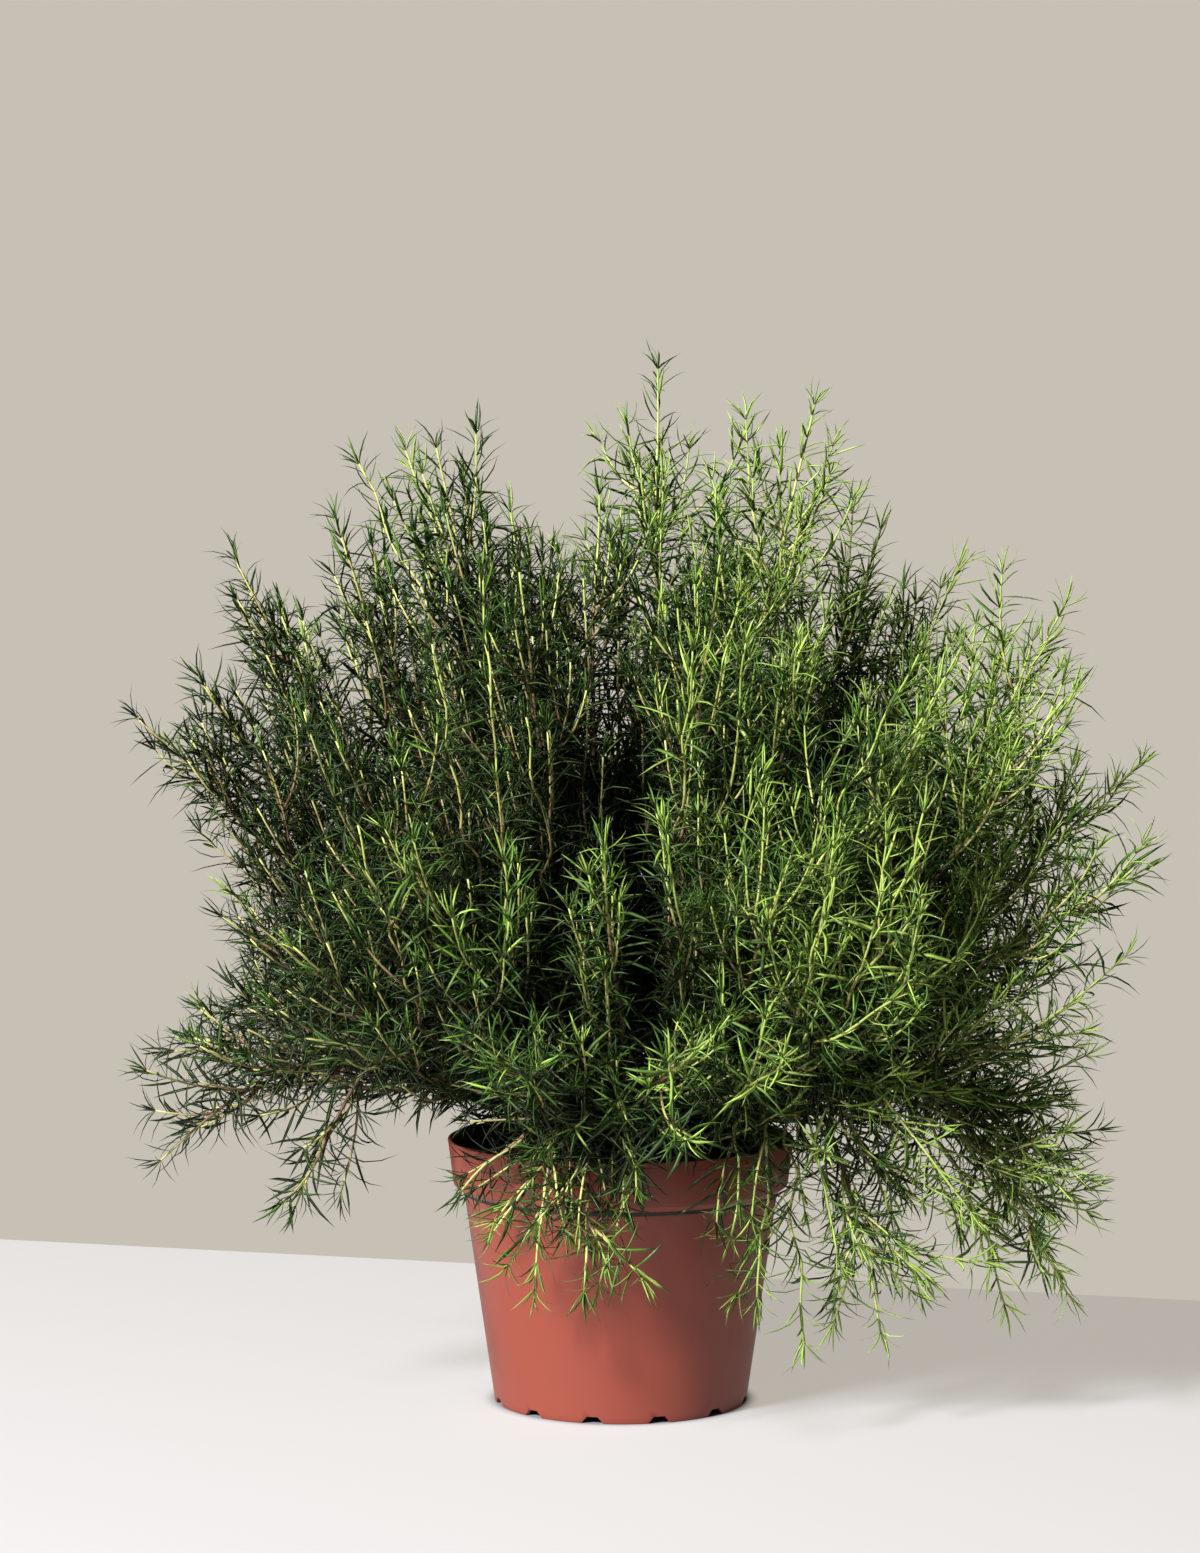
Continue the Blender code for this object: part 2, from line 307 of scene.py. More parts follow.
@dataclass(frozen=True)
class MouldedPlastic:
    """The pot's satin plastic: faint mottling, a fine moulded grain and rubbed patches."""

    colour: Colour = (0.206, 0.0385, 0.0225)
    dull_colour: Colour = (0.187, 0.035, 0.0205)
    roughness: float = 0.46

    def material(self) -> bpy.types.Material:
        """Builds the material."""
        shader = Shader("moulded_plastic")
        patches = shader.noise(14.0, 3.0)
        grain = shader.noise(1400.0, 2.0)
        rubbed = shader.noise(60.0, 4.0)
        colour = shader.mix(patches, self.dull_colour, self.colour)
        shader.bump(grain * 0.7 + rubbed * 0.3, 0.00008, 0.35)
        roughness = rubbed * 0.14 + (self.roughness - 0.07)
        return shader.finish(Base_Color=colour, Roughness=roughness, Specular_IOR_Level=0.42)


@dataclass(frozen=True)
class MoistMix:
    """Damp peat and bark: nearly black, with browner fibres and dull crumbs."""

    dark: Colour = (0.010, 0.008, 0.006)
    fibre: Colour = (0.070, 0.042, 0.024)

    def material(self) -> bpy.types.Material:
        """Builds the material."""
        shader = Shader("moist_mix")
        crumbs = shader.noise(260.0, 6.0)
        fibres = shader.noise(900.0, 3.0)
        share = ((crumbs - 0.42) * 4.0).clamped()
        colour = shader.mix(share * fibres, self.dark, self.fibre)
        shader.bump(crumbs + fibres * 0.4, 0.0012, 0.9)
        return shader.finish(Base_Color=colour, Roughness=fibres * 0.2 + 0.75)


@dataclass(frozen=True)
class StemSkin:
    """A stem's skin: flaking brown bark where old to smooth yellow-green where young, pushed darker by
    painted shade.
    """

    ages: tuple[tuple[float, Colour], ...] = (
        (0.00, (0.075, 0.042, 0.026)),
        (0.25, (0.150, 0.078, 0.042)),
        (0.48, (0.280, 0.235, 0.095)),
        (0.70, (0.440, 0.460, 0.140)),
        (1.00, (0.220, 0.320, 0.055)),
    )
    bark_scale: float = 26.0

    def material(self) -> bpy.types.Material:
        """Builds the material."""
        shader = Shader("stem_skin")
        around, age_and_shade = shader.along_and_across()
        # The coordinate holds how young the stem is, lowered by painted shade in the crown, so shaded stems
        # look older and darker.
        tone = shader.node("ShaderNodeValToRGB", {"stops": self.ages}, {0: age_and_shade})
        stretched = shader.node("ShaderNodeCombineXYZ", {}, {0: around * 0.35, 1: age_and_shade * 2.2})
        flakes = shader.noise(self.bark_scale, 5.0, stretched)
        old = age_and_shade.falling(0.6)
        colour = shader.brightened(tone, flakes * (old * 0.9 + 0.35) + (0.85 - old * 0.45))
        shader.bump(flakes * old, 0.0006, 0.7)
        return shader.finish(Base_Color=colour, Roughness=old * 0.3 + 0.5)


@dataclass(frozen=True)
class LeafSkin:
    """A rosemary leaf's skin: glossy green above with a pale groove, and grey-green below.

    The leaf's map is cut in columns. Each holds one tone of one group, set by how young the leaves are and by
    painted shade, with the upper side in its first half and the underside in its second, and runs from the
    leaf's base at 0 to its tip at 1. The darkest groups, near black, are painted shade.
    """

    columns: int = 16
    ages: int = 4
    # From darkest to palest: the first tones are mostly painted shade for leaves deep in the crown and on its
    # left.
    upper: tuple[Colour, ...] = (
        (0.002, 0.009, 0.001),
        (0.008, 0.032, 0.003),
        (0.061, 0.148, 0.014),
        (0.300, 0.430, 0.085),
    )
    under: tuple[Colour, ...] = (
        (0.003, 0.009, 0.001),
        (0.016, 0.042, 0.005),
        (0.078, 0.140, 0.026),
        (0.250, 0.380, 0.060),
    )
    groove: Colour = (0.150, 0.250, 0.048)
    leaf_base: Colour = (0.360, 0.440, 0.110)
    leaf_tip: Colour = (0.150, 0.110, 0.030)

    def tone(self, shader: Shader, column: Value, colours: Sequence[Colour]) -> Value:
        """Picks a column's colour by its group, set by how young the leaves are and by painted shade.

        Args:
            shader: The leaf's shader.
            column: The column's number.
            colours: A colour for each group, from the painted shade of the darkest to the palest young
                leaves.

        Returns:
            The colour.
        """
        per_age = self.columns // self.ages
        age_and_shade = (column / per_age + 0.01).floor() / (self.ages - 1)
        places = [index / (self.ages - 1) for index in range(self.ages)]
        return shader.node("ShaderNodeValToRGB", {"stops": list(zip(places, colours))}, {0: age_and_shade})

    def material(self) -> bpy.types.Material:
        """Builds the material."""
        shader = Shader("leaf_skin")
        across, along = shader.along_and_across()
        scaled = across * self.columns
        column = scaled.floor()
        place = scaled - column
        is_upper = place < 0.5
        from_middle = abs(place * 4.0 - (3.0 - is_upper * 2.0))
        middle = from_middle.falling(0.30)
        pick = shader.node("ShaderNodeTexWhiteNoise", {"noise_dimensions": "1D"}, {"W": column + 0.5})
        below, above = self.tone(shader, column, self.under), self.tone(shader, column, self.upper)
        skin = shader.mix(is_upper, below, above)
        ribbed = shader.mix(middle * 0.32, skin, self.groove)
        based = shader.mix(along.falling(0.22) * 0.55, ribbed, self.leaf_base)
        tipped = shader.mix((1.0 - along).falling(0.05) * 0.5, based, self.leaf_tip)
        wrinkles = shader.node("ShaderNodeCombineXYZ", {}, {0: across * 40.0, 1: along * 3.0})
        mottle = shader.noise(6.0, 3.0, wrinkles)
        colour = shader.brightened(tipped, pick * 0.5 + mottle * 0.4 + 0.55)
        shader.bump(mottle * 0.5 - middle, 0.0003, 0.6)
        roughness = 0.56 - is_upper * 0.28 + mottle * 0.08
        return shader.finish(Base_Color=colour, Roughness=roughness, Specular_IOR_Level=0.30)


@dataclass(frozen=True)
class PaleBoard:
    """The plain pale floor, whose glow paints light into its cast shadows, with a painted contact shadow
    round the pot's foot.
    """

    colour: Colour = (0.214, 0.226, 0.250)
    # Painted light: an emitted glow that lifts the floor's cast shadows.
    painted_bounce_glow: Colour = (0.475, 0.440, 0.395)
    # Painted contact shadow: no glow out to the first radius from the pot's axis, full glow from the second.
    painted_contact_shade: tuple[float, float] = (0.0725, 0.0820)

    def material(self) -> bpy.types.Material:
        """Builds the material."""
        shader = Shader("pale_board")
        place = shader.node("ShaderNodeTexCoord", output="Object")
        near, far = self.painted_contact_shade
        away = shader.node("ShaderNodeVectorMath", {"operation": "LENGTH"}, {0: place}, "Value")
        unshaded_share = ((away - near) / (far - near)).clamped()
        # Painted light, faded out near the pot as a painted contact shadow.
        painted_bounce_glow = shader.mix(unshaded_share * (2.0 - unshaded_share), (0.0, 0.0, 0.0), self.painted_bounce_glow)
        return shader.finish(
            Base_Color=self.colour, Roughness=0.75, Emission_Color=painted_bounce_glow, Emission_Strength=1.0
        )


# ---------------------------------------------------------------------------------------------------------
# Mesh helpers
# ---------------------------------------------------------------------------------------------------------


def piece_from(
    bm: bmesh.types.BMesh,
    name: str,
    material: bpy.types.Material,
    replaced: Iterable[str],
) -> bpy.types.Object:
    """Makes a finished piece from a bmesh, which is freed.

    Args:
        bm: The shape, in its place.
        name: The piece's name.
        material: Its material.
        replaced: The CAD nodes that it stands for.

    Returns:
        The object, which rides on the part's body.
    """
    mesh = bpy.data.meshes.new(name)
    bm.to_mesh(mesh)
    bm.free()
    mesh.materials.append(material)
    piece = bpy.data.objects.new(name, mesh)
    bpy.context.scene.collection.objects.link(piece)
    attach(piece, BODY)
    nodes = list(replaced)
    if nodes:
        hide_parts(*nodes)
    LOG.info("%s: %d faces", name, len(mesh.polygons))
    return piece


def smooth(bm: bmesh.types.BMesh) -> None:
    """Shades every face smooth."""
    for face in bm.faces:
        face.smooth = True


def spin_round(bm: bmesh.types.BMesh, steps: int) -> None:
    """Turns a section once round the Z axis.

    Args:
        bm: The section's vertices and edges.
        steps: How many steps the turn has.
    """
    section = bm.verts[:] + bm.edges[:]
    bmesh.ops.spin(
        bm, geom=section, cent=(0, 0, 0), axis=(0, 0, 1), angle=math.tau, steps=steps, use_merge=True
    )


# ---------------------------------------------------------------------------------------------------------
# Pot and potting mix
# ---------------------------------------------------------------------------------------------------------


@dataclass
class NurseryPot:
    """The moulded pot: a wide collar with a rounded lip, a tapered wall, and a foot ring with notches."""

    node: str = "pot"
    steps: int = 144
    wall: float = 0.0018
    floor: float = 0.0024
    collar_height: float = 0.026
    collar_taper: float = 0.0034
    ledge_drop: float = 0.0045
    ledge_step: float = 0.0060
    foot_radius: float = 0.073
    foot_width: float = 0.0026
    channel_depth: float = 0.005
    pad_radius: float = 0.050
    notches: int = 12
    notch_steps: int = 4
    notch_height: float = 0.004
    first_notch: float = math.radians(-103)
    soft_edge: float = 0.0007
    rim: float = field(init=False)
    height: float = field(init=False)

    def __post_init__(self) -> None:
        """Reads the pot's width and height from its CAD node."""
        low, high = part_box(self.node)
        self.rim = (high.x - low.x) / 2
        self.height = high.z

    @property
    def collar_foot(self) -> float:
        """The height of the collar's lower edge."""
        return self.height - self.collar_height

    @property
    def ledge_foot(self) -> float:
        """The height where the ledge under the collar meets the wall."""
        return self.collar_foot - self.ledge_drop

    @property
    def collar_foot_radius(self) -> float:
        """The outer radius of the collar's lower edge."""
        return self.rim - self.collar_taper

    @property
    def wall_top_radius(self) -> float:
        """The outer radius of the wall under the ledge."""
        return self.collar_foot_radius - self.ledge_step

    def wall_radius(self, height: float) -> float:
        """The wall's outer radius at a height."""
        return self.foot_radius + (self.wall_top_radius - self.foot_radius) * height / self.ledge_foot

    def outer_section(self) -> list[tuple[float, float]]:
        """The section from the lip's top down the outside to the foot ring."""
        return [
            (self.rim - self.wall, self.height),
            (self.rim, self.height),
            (self.collar_foot_radius, self.collar_foot),
            (self.wall_top_radius, self.ledge_foot),
            (self.wall_radius(2 * self.notch_height), 2 * self.notch_height),
            (self.wall_radius(self.notch_height), self.notch_height),
            (self.foot_radius, 0.0),
        ]

    def inner_section(self) -> list[tuple[float, float]]:
        """The section from the foot ring across the underside and up the inside to the lip."""
        foot_inside = self.foot_radius - self.foot_width
        channel_top = self.channel_depth + self.floor
        return [
            (foot_inside, 0.0),
            (foot_inside, self.notch_height),
            (foot_inside - 0.0004, self.channel_depth),
            (self.pad_radius + 0.001, self.channel_depth),
            (self.pad_radius, 0.0),
            (0.0, 0.0),
            (0.0, self.floor),
            (self.pad_radius - self.wall, self.floor),
            (self.pad_radius + 0.001 - self.wall, channel_top),
            (self.wall_radius(channel_top) - self.wall, channel_top),
            (self.wall_top_radius - self.wall, self.ledge_foot + self.wall),
            (self.collar_foot_radius - self.wall, self.collar_foot + self.wall),
        ]

    def turned(self) -> bmesh.types.BMesh:
        """Spins the section round the pot's axis."""
        bm = bmesh.new()
        places = self.outer_section() + self.inner_section()
        points = [bm.verts.new((radius, 0.0, height)) for radius, height in places]
        for first, second in zip(points, points[1:] + points[:1]):
            if first.co.x > 0.0 or second.co.x > 0.0:
                bm.edges.new((first, second))
        start = Matrix.Rotation(self.first_notch - math.pi * self.notch_steps / self.steps, 3, "Z")
        bmesh.ops.rotate(bm, verts=bm.verts, cent=(0, 0, 0), matrix=start)
        spin_round(bm, self.steps)
        bmesh.ops.remove_doubles(bm, verts=bm.verts, dist=2e-5)
        bmesh.ops.recalc_face_normals(bm, faces=bm.faces)
        return bm

    def cut_notches(self, bm: bmesh.types.BMesh) -> None:
        """Opens the drainage notches in the foot ring.

        Args:
            bm: The turned pot.
        """
        pitch = math.tau / self.notches
        width = math.tau * self.notch_steps / self.steps
        doomed = []
        for face in bm.faces:
            middle = face.calc_center_median()
            around = (math.atan2(middle.y, middle.x) - self.first_notch + width / 2) % pitch
            in_ring = math.hypot(middle.x, middle.y) > self.foot_radius - self.foot_width - 0.0002
            if in_ring and middle.z < self.notch_height - 0.0002 and around < width:
                doomed.append(face)
        bmesh.ops.delete(bm, geom=doomed, context="FACES")
        rims = [edge for edge in bm.edges if edge.is_boundary]
        bmesh.ops.holes_fill(bm, edges=rims, sides=0)
        filled = [face for face in bm.faces if len(face.verts) > 4 and face.calc_center_median().z < 0.01]
        bmesh.ops.triangulate(bm, faces=filled, quad_method="BEAUTY", ngon_method="BEAUTY")

    def build(self, finish: MouldedPlastic) -> bpy.types.Object:
        """Makes the pot.

        Args:
            finish: Its plastic.

        Returns:
            The piece.
        """
        bm = self.turned()
        corners = [
            edge
            for edge in bm.edges
            if len(edge.link_faces) == 2
            and edge.calc_face_angle(0.0) > math.radians(18)
            and edge.calc_length() < math.tau * self.rim / self.steps * 1.05
            and abs(edge.verts[0].co.z - edge.verts[1].co.z) < 1e-5
            and math.hypot(*edge.verts[0].co.xy) > self.pad_radius * 0.5
        ]
        bmesh.ops.bevel(
            bm,
            geom=corners,
            offset=self.soft_edge,
            offset_type="OFFSET",
            segments=3,
            profile=0.5,
            affect="EDGES",
            material=-1,
            clamp_overlap=True,
        )
        self.cut_notches(bm)
        bmesh.ops.recalc_face_normals(bm, faces=bm.faces)
        smooth(bm)
        piece = piece_from(bm, "nursery_pot", finish.material(), [self.node])
        piece.data.set_sharp_from_angle(angle=math.radians(35))
        return piece


@dataclass
class PottingMix:
    """The potting mix: a rough, slightly mounded fill with loose crumbs on it."""

    node: str = "potting_mix"
    rings: int = 26
    steps: int = 120
    rough_height: float = 0.0022
    crumb_count: int = 520
    crumb_size: tuple[float, float] = (0.0008, 0.0030)
    seed: int = 11

    def top(self, radius: float, reach: float, crown: float) -> float:
        """The mound's height at a radius."""
        return crown - 0.0035 * (radius / reach) ** 3

    def build(self, finish: MoistMix) -> list[bpy.types.Object]:
        """Makes the fill and its crumbs.

        Args:
            finish: The mix's material.

        Returns:
            The pieces.
        """
        low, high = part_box(self.node)
        reach = (high.x - low.x) / 2
        crown = high.z - self.rough_height
        material = finish.material()
        shape = self.fill_shape(low, high, reach, crown)
        fill = piece_from(shape, "mix_fill", material, [self.node])
        crumbs = piece_from(self.crumb_shapes(reach, crown), "mix_crumbs", material, [])
        return [fill, crumbs]

    def fill_shape(self, low: Vector, high: Vector, reach: float, crown: float) -> bmesh.types.BMesh:
        """Shapes the fill.

        Args:
            low: The CAD fill's lowest corner.
            high: Its highest corner.
            reach: Its radius.
            crown: The height of its middle.

        Returns:
            The closed shape.
        """
        bm = bmesh.new()
        edge_height = self.top(reach, reach, crown)
        radii = [reach * ring / self.rings for ring in range(self.rings + 1)]
        places = [(radius, self.top(radius, reach, crown)) for radius in radii]
        places += [(reach * 0.995, edge_height - 0.011), (reach * 0.92, edge_height - 0.019)]
        places += [(reach * 0.76, low.z), (0.0, low.z)]
        points = [bm.verts.new((radius, 0.0, height)) for radius, height in places]
        for first, second in zip(points, points[1:]):
            bm.edges.new((first, second))
        spin_round(bm, self.steps)
        bmesh.ops.remove_doubles(bm, verts=bm.verts, dist=1e-6)
        for vert in bm.verts:
            inner = math.hypot(*vert.co.xy) < reach * 0.99
            if inner and vert.co.z > edge_height - 0.002:
                vert.co.z += self.rough_height * noise.fractal(vert.co * 140.0, 0.8, 2.0, 4)
                vert.co.z = min(vert.co.z, high.z)
        bmesh.ops.recalc_face_normals(bm, faces=bm.faces)
        smooth(bm)
        return bm

    def crumb_shapes(self, reach: float, crown: float) -> bmesh.types.BMesh:
        """Scatters crumbs of bark and peat over the mound.

        Args:
            reach: The mound's radius.
            crown: The height of its middle.

        Returns:
            The crumbs.
        """
        rng = random.Random(self.seed)
        bm = bmesh.new()
        for _ in range(self.crumb_count):
            radius = reach * 0.95 * math.sqrt(rng.random())
            angle = rng.uniform(0.0, math.tau)
            size = rng.uniform(*self.crumb_size)
            spot = Vector((radius * math.cos(angle), radius * math.sin(angle), 0.0))
            spot.z = self.top(radius, reach, crown) + size * 0.1
            turn = Matrix.Rotation(rng.uniform(0, math.tau), 4, Vector([rng.gauss(0, 1) for _ in range(3)]))
            sides = [rng.uniform(0.6, 1.6), rng.uniform(0.5, 1.0), rng.uniform(0.4, 0.8)]
            shape = Matrix.Diagonal((*sides, 1.0))
            bmesh.ops.create_icosphere(
                bm, subdivisions=1, radius=size, matrix=Matrix.Translation(spot) @ turn @ shape
            )
        return bm


# ---------------------------------------------------------------------------------------------------------
# Leaves
# ---------------------------------------------------------------------------------------------------------


class LeafSide(Enum):
    """The three faces round a leaf, each with where it starts in the leaf's column and how much it takes."""

    UPPER = (0.00, 0.50)
    UNDER_RIGHT = (0.50, 0.25)
    UNDER_LEFT = (0.75, 0.25)


@dataclass(frozen=True)
class LeafForm:
    """One form of leaf, one unit long: how wide it is and how it bends."""

    width: float
    bend: float
    sideways: float
    lengthwise_cuts: int = 2
    column_margin: float = 0.03

    def half_width(self, along: float) -> float:
        """Half the leaf's width at a share of its length."""
        neck = 0.42 + 0.58 * min(1.0, along / 0.2)
        return 0.5 * self.width * neck * (1.0 - along**3.2) ** 0.62

    def shaped(self) -> bmesh.types.BMesh:
        """The leaf's shape: a flat blade, keeled below, running along +Y with its upper side to +Z."""
        bm = bmesh.new()
        bmesh.ops.create_cone(bm, cap_ends=True, segments=3, radius1=1.0, radius2=1.0, depth=1.0)
        sides = [edge for edge in bm.edges if abs(edge.verts[0].co.z - edge.verts[1].co.z) > 0.5]
        bmesh.ops.subdivide_edges(bm, edges=sides, cuts=self.lengthwise_cuts, use_grid_fill=True)
        for vert in bm.verts:
            along = vert.co.z + 0.5
            half = self.half_width(along)
            if abs(vert.co.x) > 0.5:
                across, height = math.copysign(half, vert.co.x), 0.15 * half
            else:
                across, height = 0.0, -0.50 * half
            vert.co = (
                across + self.sideways * along**2,
                along * (1.0 - 0.30 * self.bend**2 * along),
                height + self.bend * along**2,
            )
        bmesh.ops.remove_doubles(bm, verts=bm.verts, dist=1e-5)
        bmesh.ops.recalc_face_normals(bm, faces=bm.faces)
        smooth(bm)
        return bm

    def side_of(self, face: bmesh.types.BMFace) -> LeafSide:
        """Finds the side of the leaf that a face is on.

        Args:
            face: The face.

        Returns:
            The side.
        """
        middle = face.calc_center_median()
        along = max(0.0, middle.y)
        if middle.z > self.bend * along**2 - 0.02 * self.width:
            return LeafSide.UPPER
        return LeafSide.UNDER_RIGHT if middle.x > self.sideways * along**2 else LeafSide.UNDER_LEFT

    def mesh(self, column: int, columns: int) -> bpy.types.Mesh:
        """Makes the leaf with its map in one column.

        Args:
            column: The column's number.
            columns: How many columns the map has.

        Returns:
            The leaf's mesh.
        """
        bm = self.shaped()
        layer = bm.loops.layers.uv.new(SURFACE_MAP)
        for face in bm.faces:
            side = self.side_of(face)
            for loop in face.loops:
                share = self.share_across(loop.vert.co, side)
                place = self.column_margin + (1.0 - 2.0 * self.column_margin) * share
                loop[layer].uv = ((column + place) / columns, max(0.0, min(1.0, loop.vert.co.y)))
        mesh = bpy.data.meshes.new(f"leaf_{column}")
        bm.to_mesh(mesh)
        bm.free()
        return mesh

    def share_across(self, point: Vector, side: LeafSide) -> float:
        """Where a point of one of the leaf's sides lies in its column.

        Args:
            point: The point.
            side: The side that it is seen on.

        Returns:
            The share of the column's width, from 0 to 1.
        """
        along = max(0.0, min(1.0, point.y))
        half = max(self.half_width(along), 1e-6)
        offset = (point.x - self.sideways * along**2) / half
        offset = max(-1.0, min(1.0, offset)) if along < 0.97 else 0.0
        start, width = side.value
        if side is LeafSide.UPPER:
            return start + width * (0.5 + 0.5 * offset)
        return start + width * (1.0 - offset if side is LeafSide.UNDER_RIGHT else -offset)


class LeafStock:
    """Every form of leaf in every column, ready to be set on a stem."""

    forms = (
        LeafForm(0.074, -0.14, 0.05),
        LeafForm(0.068, -0.36, -0.10),
        LeafForm(0.080, -0.55, 0.14),
        LeafForm(0.070, 0.22, -0.12),
        LeafForm(0.076, -0.20, -0.08),
        LeafForm(0.066, 0.36, 0.12),
        LeafForm(0.072, 0.52, -0.16),
        LeafForm(0.084, -0.30, 0.22),
        LeafForm(0.068, -0.48, -0.24),
    )

    def __init__(self, skin: LeafSkin) -> None:
        """Makes the leaves.

        Args:
            skin: The leaves' finish, for its columns.
        """
        self.skin = skin
        columns = range(skin.columns)
        self.meshes = [[form.mesh(column, skin.columns) for column in columns] for form in self.forms]

    def pick(self, rng: random.Random, age_and_shade: float) -> bpy.types.Mesh:
        """Picks a leaf.

        Args:
            rng: The plant's random numbers.
            age_and_shade: How young the leaf is, lowered by painted shade: 0 for old leaves in deep shade, 1
                for the youngest.

        Returns:
            The leaf's mesh.
        """
        per_age = self.skin.columns // self.skin.ages
        group = max(0, min(self.skin.ages - 1, round(age_and_shade * (self.skin.ages - 1) + rng.gauss(0.0, 0.55))))
        column = group * per_age + rng.randrange(per_age)
        return rng.choice(self.meshes)[column]


# ---------------------------------------------------------------------------------------------------------
# Shoots
# ---------------------------------------------------------------------------------------------------------


def bezier(start: Vector, middle: Vector, end: Vector, count: int) -> list[Vector]:
    """Points of a quadratic curve.

    Args:
        start: Where it starts.
        middle: The point that it bends towards.
        end: Where it ends.
        count: How many points.

    Returns:
        The points.
    """
    points = []
    for index in range(count):
        t = index / (count - 1)
        points.append(start * (1 - t) ** 2 + middle * (2 * t * (1 - t)) + end * t**2)
    return points


def length_of(points: Sequence[Vector]) -> float:
    """The length of a line of points."""
    return sum((b - a).length for a, b in zip(points, points[1:]))


def evenly(points: Sequence[Vector], step: float) -> list[Vector]:
    """The same line with points about a step apart.

    Args:
        points: The line.
        step: The distance wanted.

    Returns:
        The new points, from the line's first to its last.
    """
    total = length_of(points)
    count = max(2, round(total / step)) + 1
    wanted = [total * index / (count - 1) for index in range(count)]
    found, run, index = [], 0.0, 0
    for target in wanted:
        while index < len(points) - 2 and run + (points[index + 1] - points[index]).length < target:
            run += (points[index + 1] - points[index]).length
            index += 1
        span = (points[index + 1] - points[index]).length
        share = min(1.0, (target - run) / span) if span > 0.0 else 0.0
        found.append(points[index].lerp(points[index + 1], share))
    return found


@dataclass
class Shoot:
    """One shoot: its line from its start to its tip, its thickness, and where its leaves begin."""

    points: list[Vector]
    foot_radius: float
    tip_radius: float
    foot_age: float
    tip_age: float = 1.0
    greening: float = 0.7
    bare: float = 0.0
    vigour: float = 1.0
    leaf_age: float = 0.38
    tip_youth: float = 0.30

    def frames(self) -> list[tuple[Vector, Vector, Vector]]:
        """The shoot's direction and two crossing directions at each point, carried along without a twist."""
        found: list[tuple[Vector, Vector, Vector]] = []
        side = self.points[1] - self.points[0]
        side = side.orthogonal().normalized()
        last = len(self.points) - 1
        for index in range(last + 1):
            along = self.points[min(index + 1, last)] - self.points[max(index - 1, 0)]
            along.normalize()
            side = (side - along * side.dot(along)).normalized()
            found.append((along, side, along.cross(side)))
        return found

    def age_at(self, share: float) -> float:
        """How young the stem is at a share of its length, from 0 for old bark to 1 for new growth."""
        return self.foot_age + (self.tip_age - self.foot_age) * share**self.greening

    def leaf_age_at(self, share: float) -> float:
        """How young the leaves are at a share of its length: only those near the tip are pale."""
        return self.leaf_age + self.tip_youth * share**4

    def radius_at(self, share: float) -> float:
        """The radius at a share of the length."""
        return self.foot_radius + (self.tip_radius - self.foot_radius) * share**0.7


@dataclass(frozen=True)
class CrownShade:
    """Painted light and shade over the crown: leaf and stem tones darker inside and on the left, lighter on
    the right.
    """

    middle: float = 0.26
    reach: Place = (0.26, 0.23, 0.29)
    skin: float = 0.92
    # How fast painted shade deepens inside the crown; the darker inner leaves also stand for older growth.
    inner_shade_fall: float = 1.7
    # How fast the tones lighten towards the right, leaving painted shade on the left.
    light_rise_to_right: float = 3.1
    at_middle: float = 0.15
    most: float = 0.30

    def painted_light_at(self, place: Vector) -> float:
        """Says how far painted light and shade shift the leaf and stem tones at a place.

        Args:
            place: The place.

        Returns:
            The shift, from about -1 for the deepest painted shade to 1 for the lightest painted tone.
        """
        across, deep, tall = self.reach
        scaled = (place.x / across, place.y / deep, (place.z - self.middle) / tall)
        inside = min(0.0, Vector(scaled).length - self.skin)
        return self.inner_shade_fall * inside + min(self.most, self.at_middle + self.light_rise_to_right * place.x)


CROWN_SHADE = CrownShade()


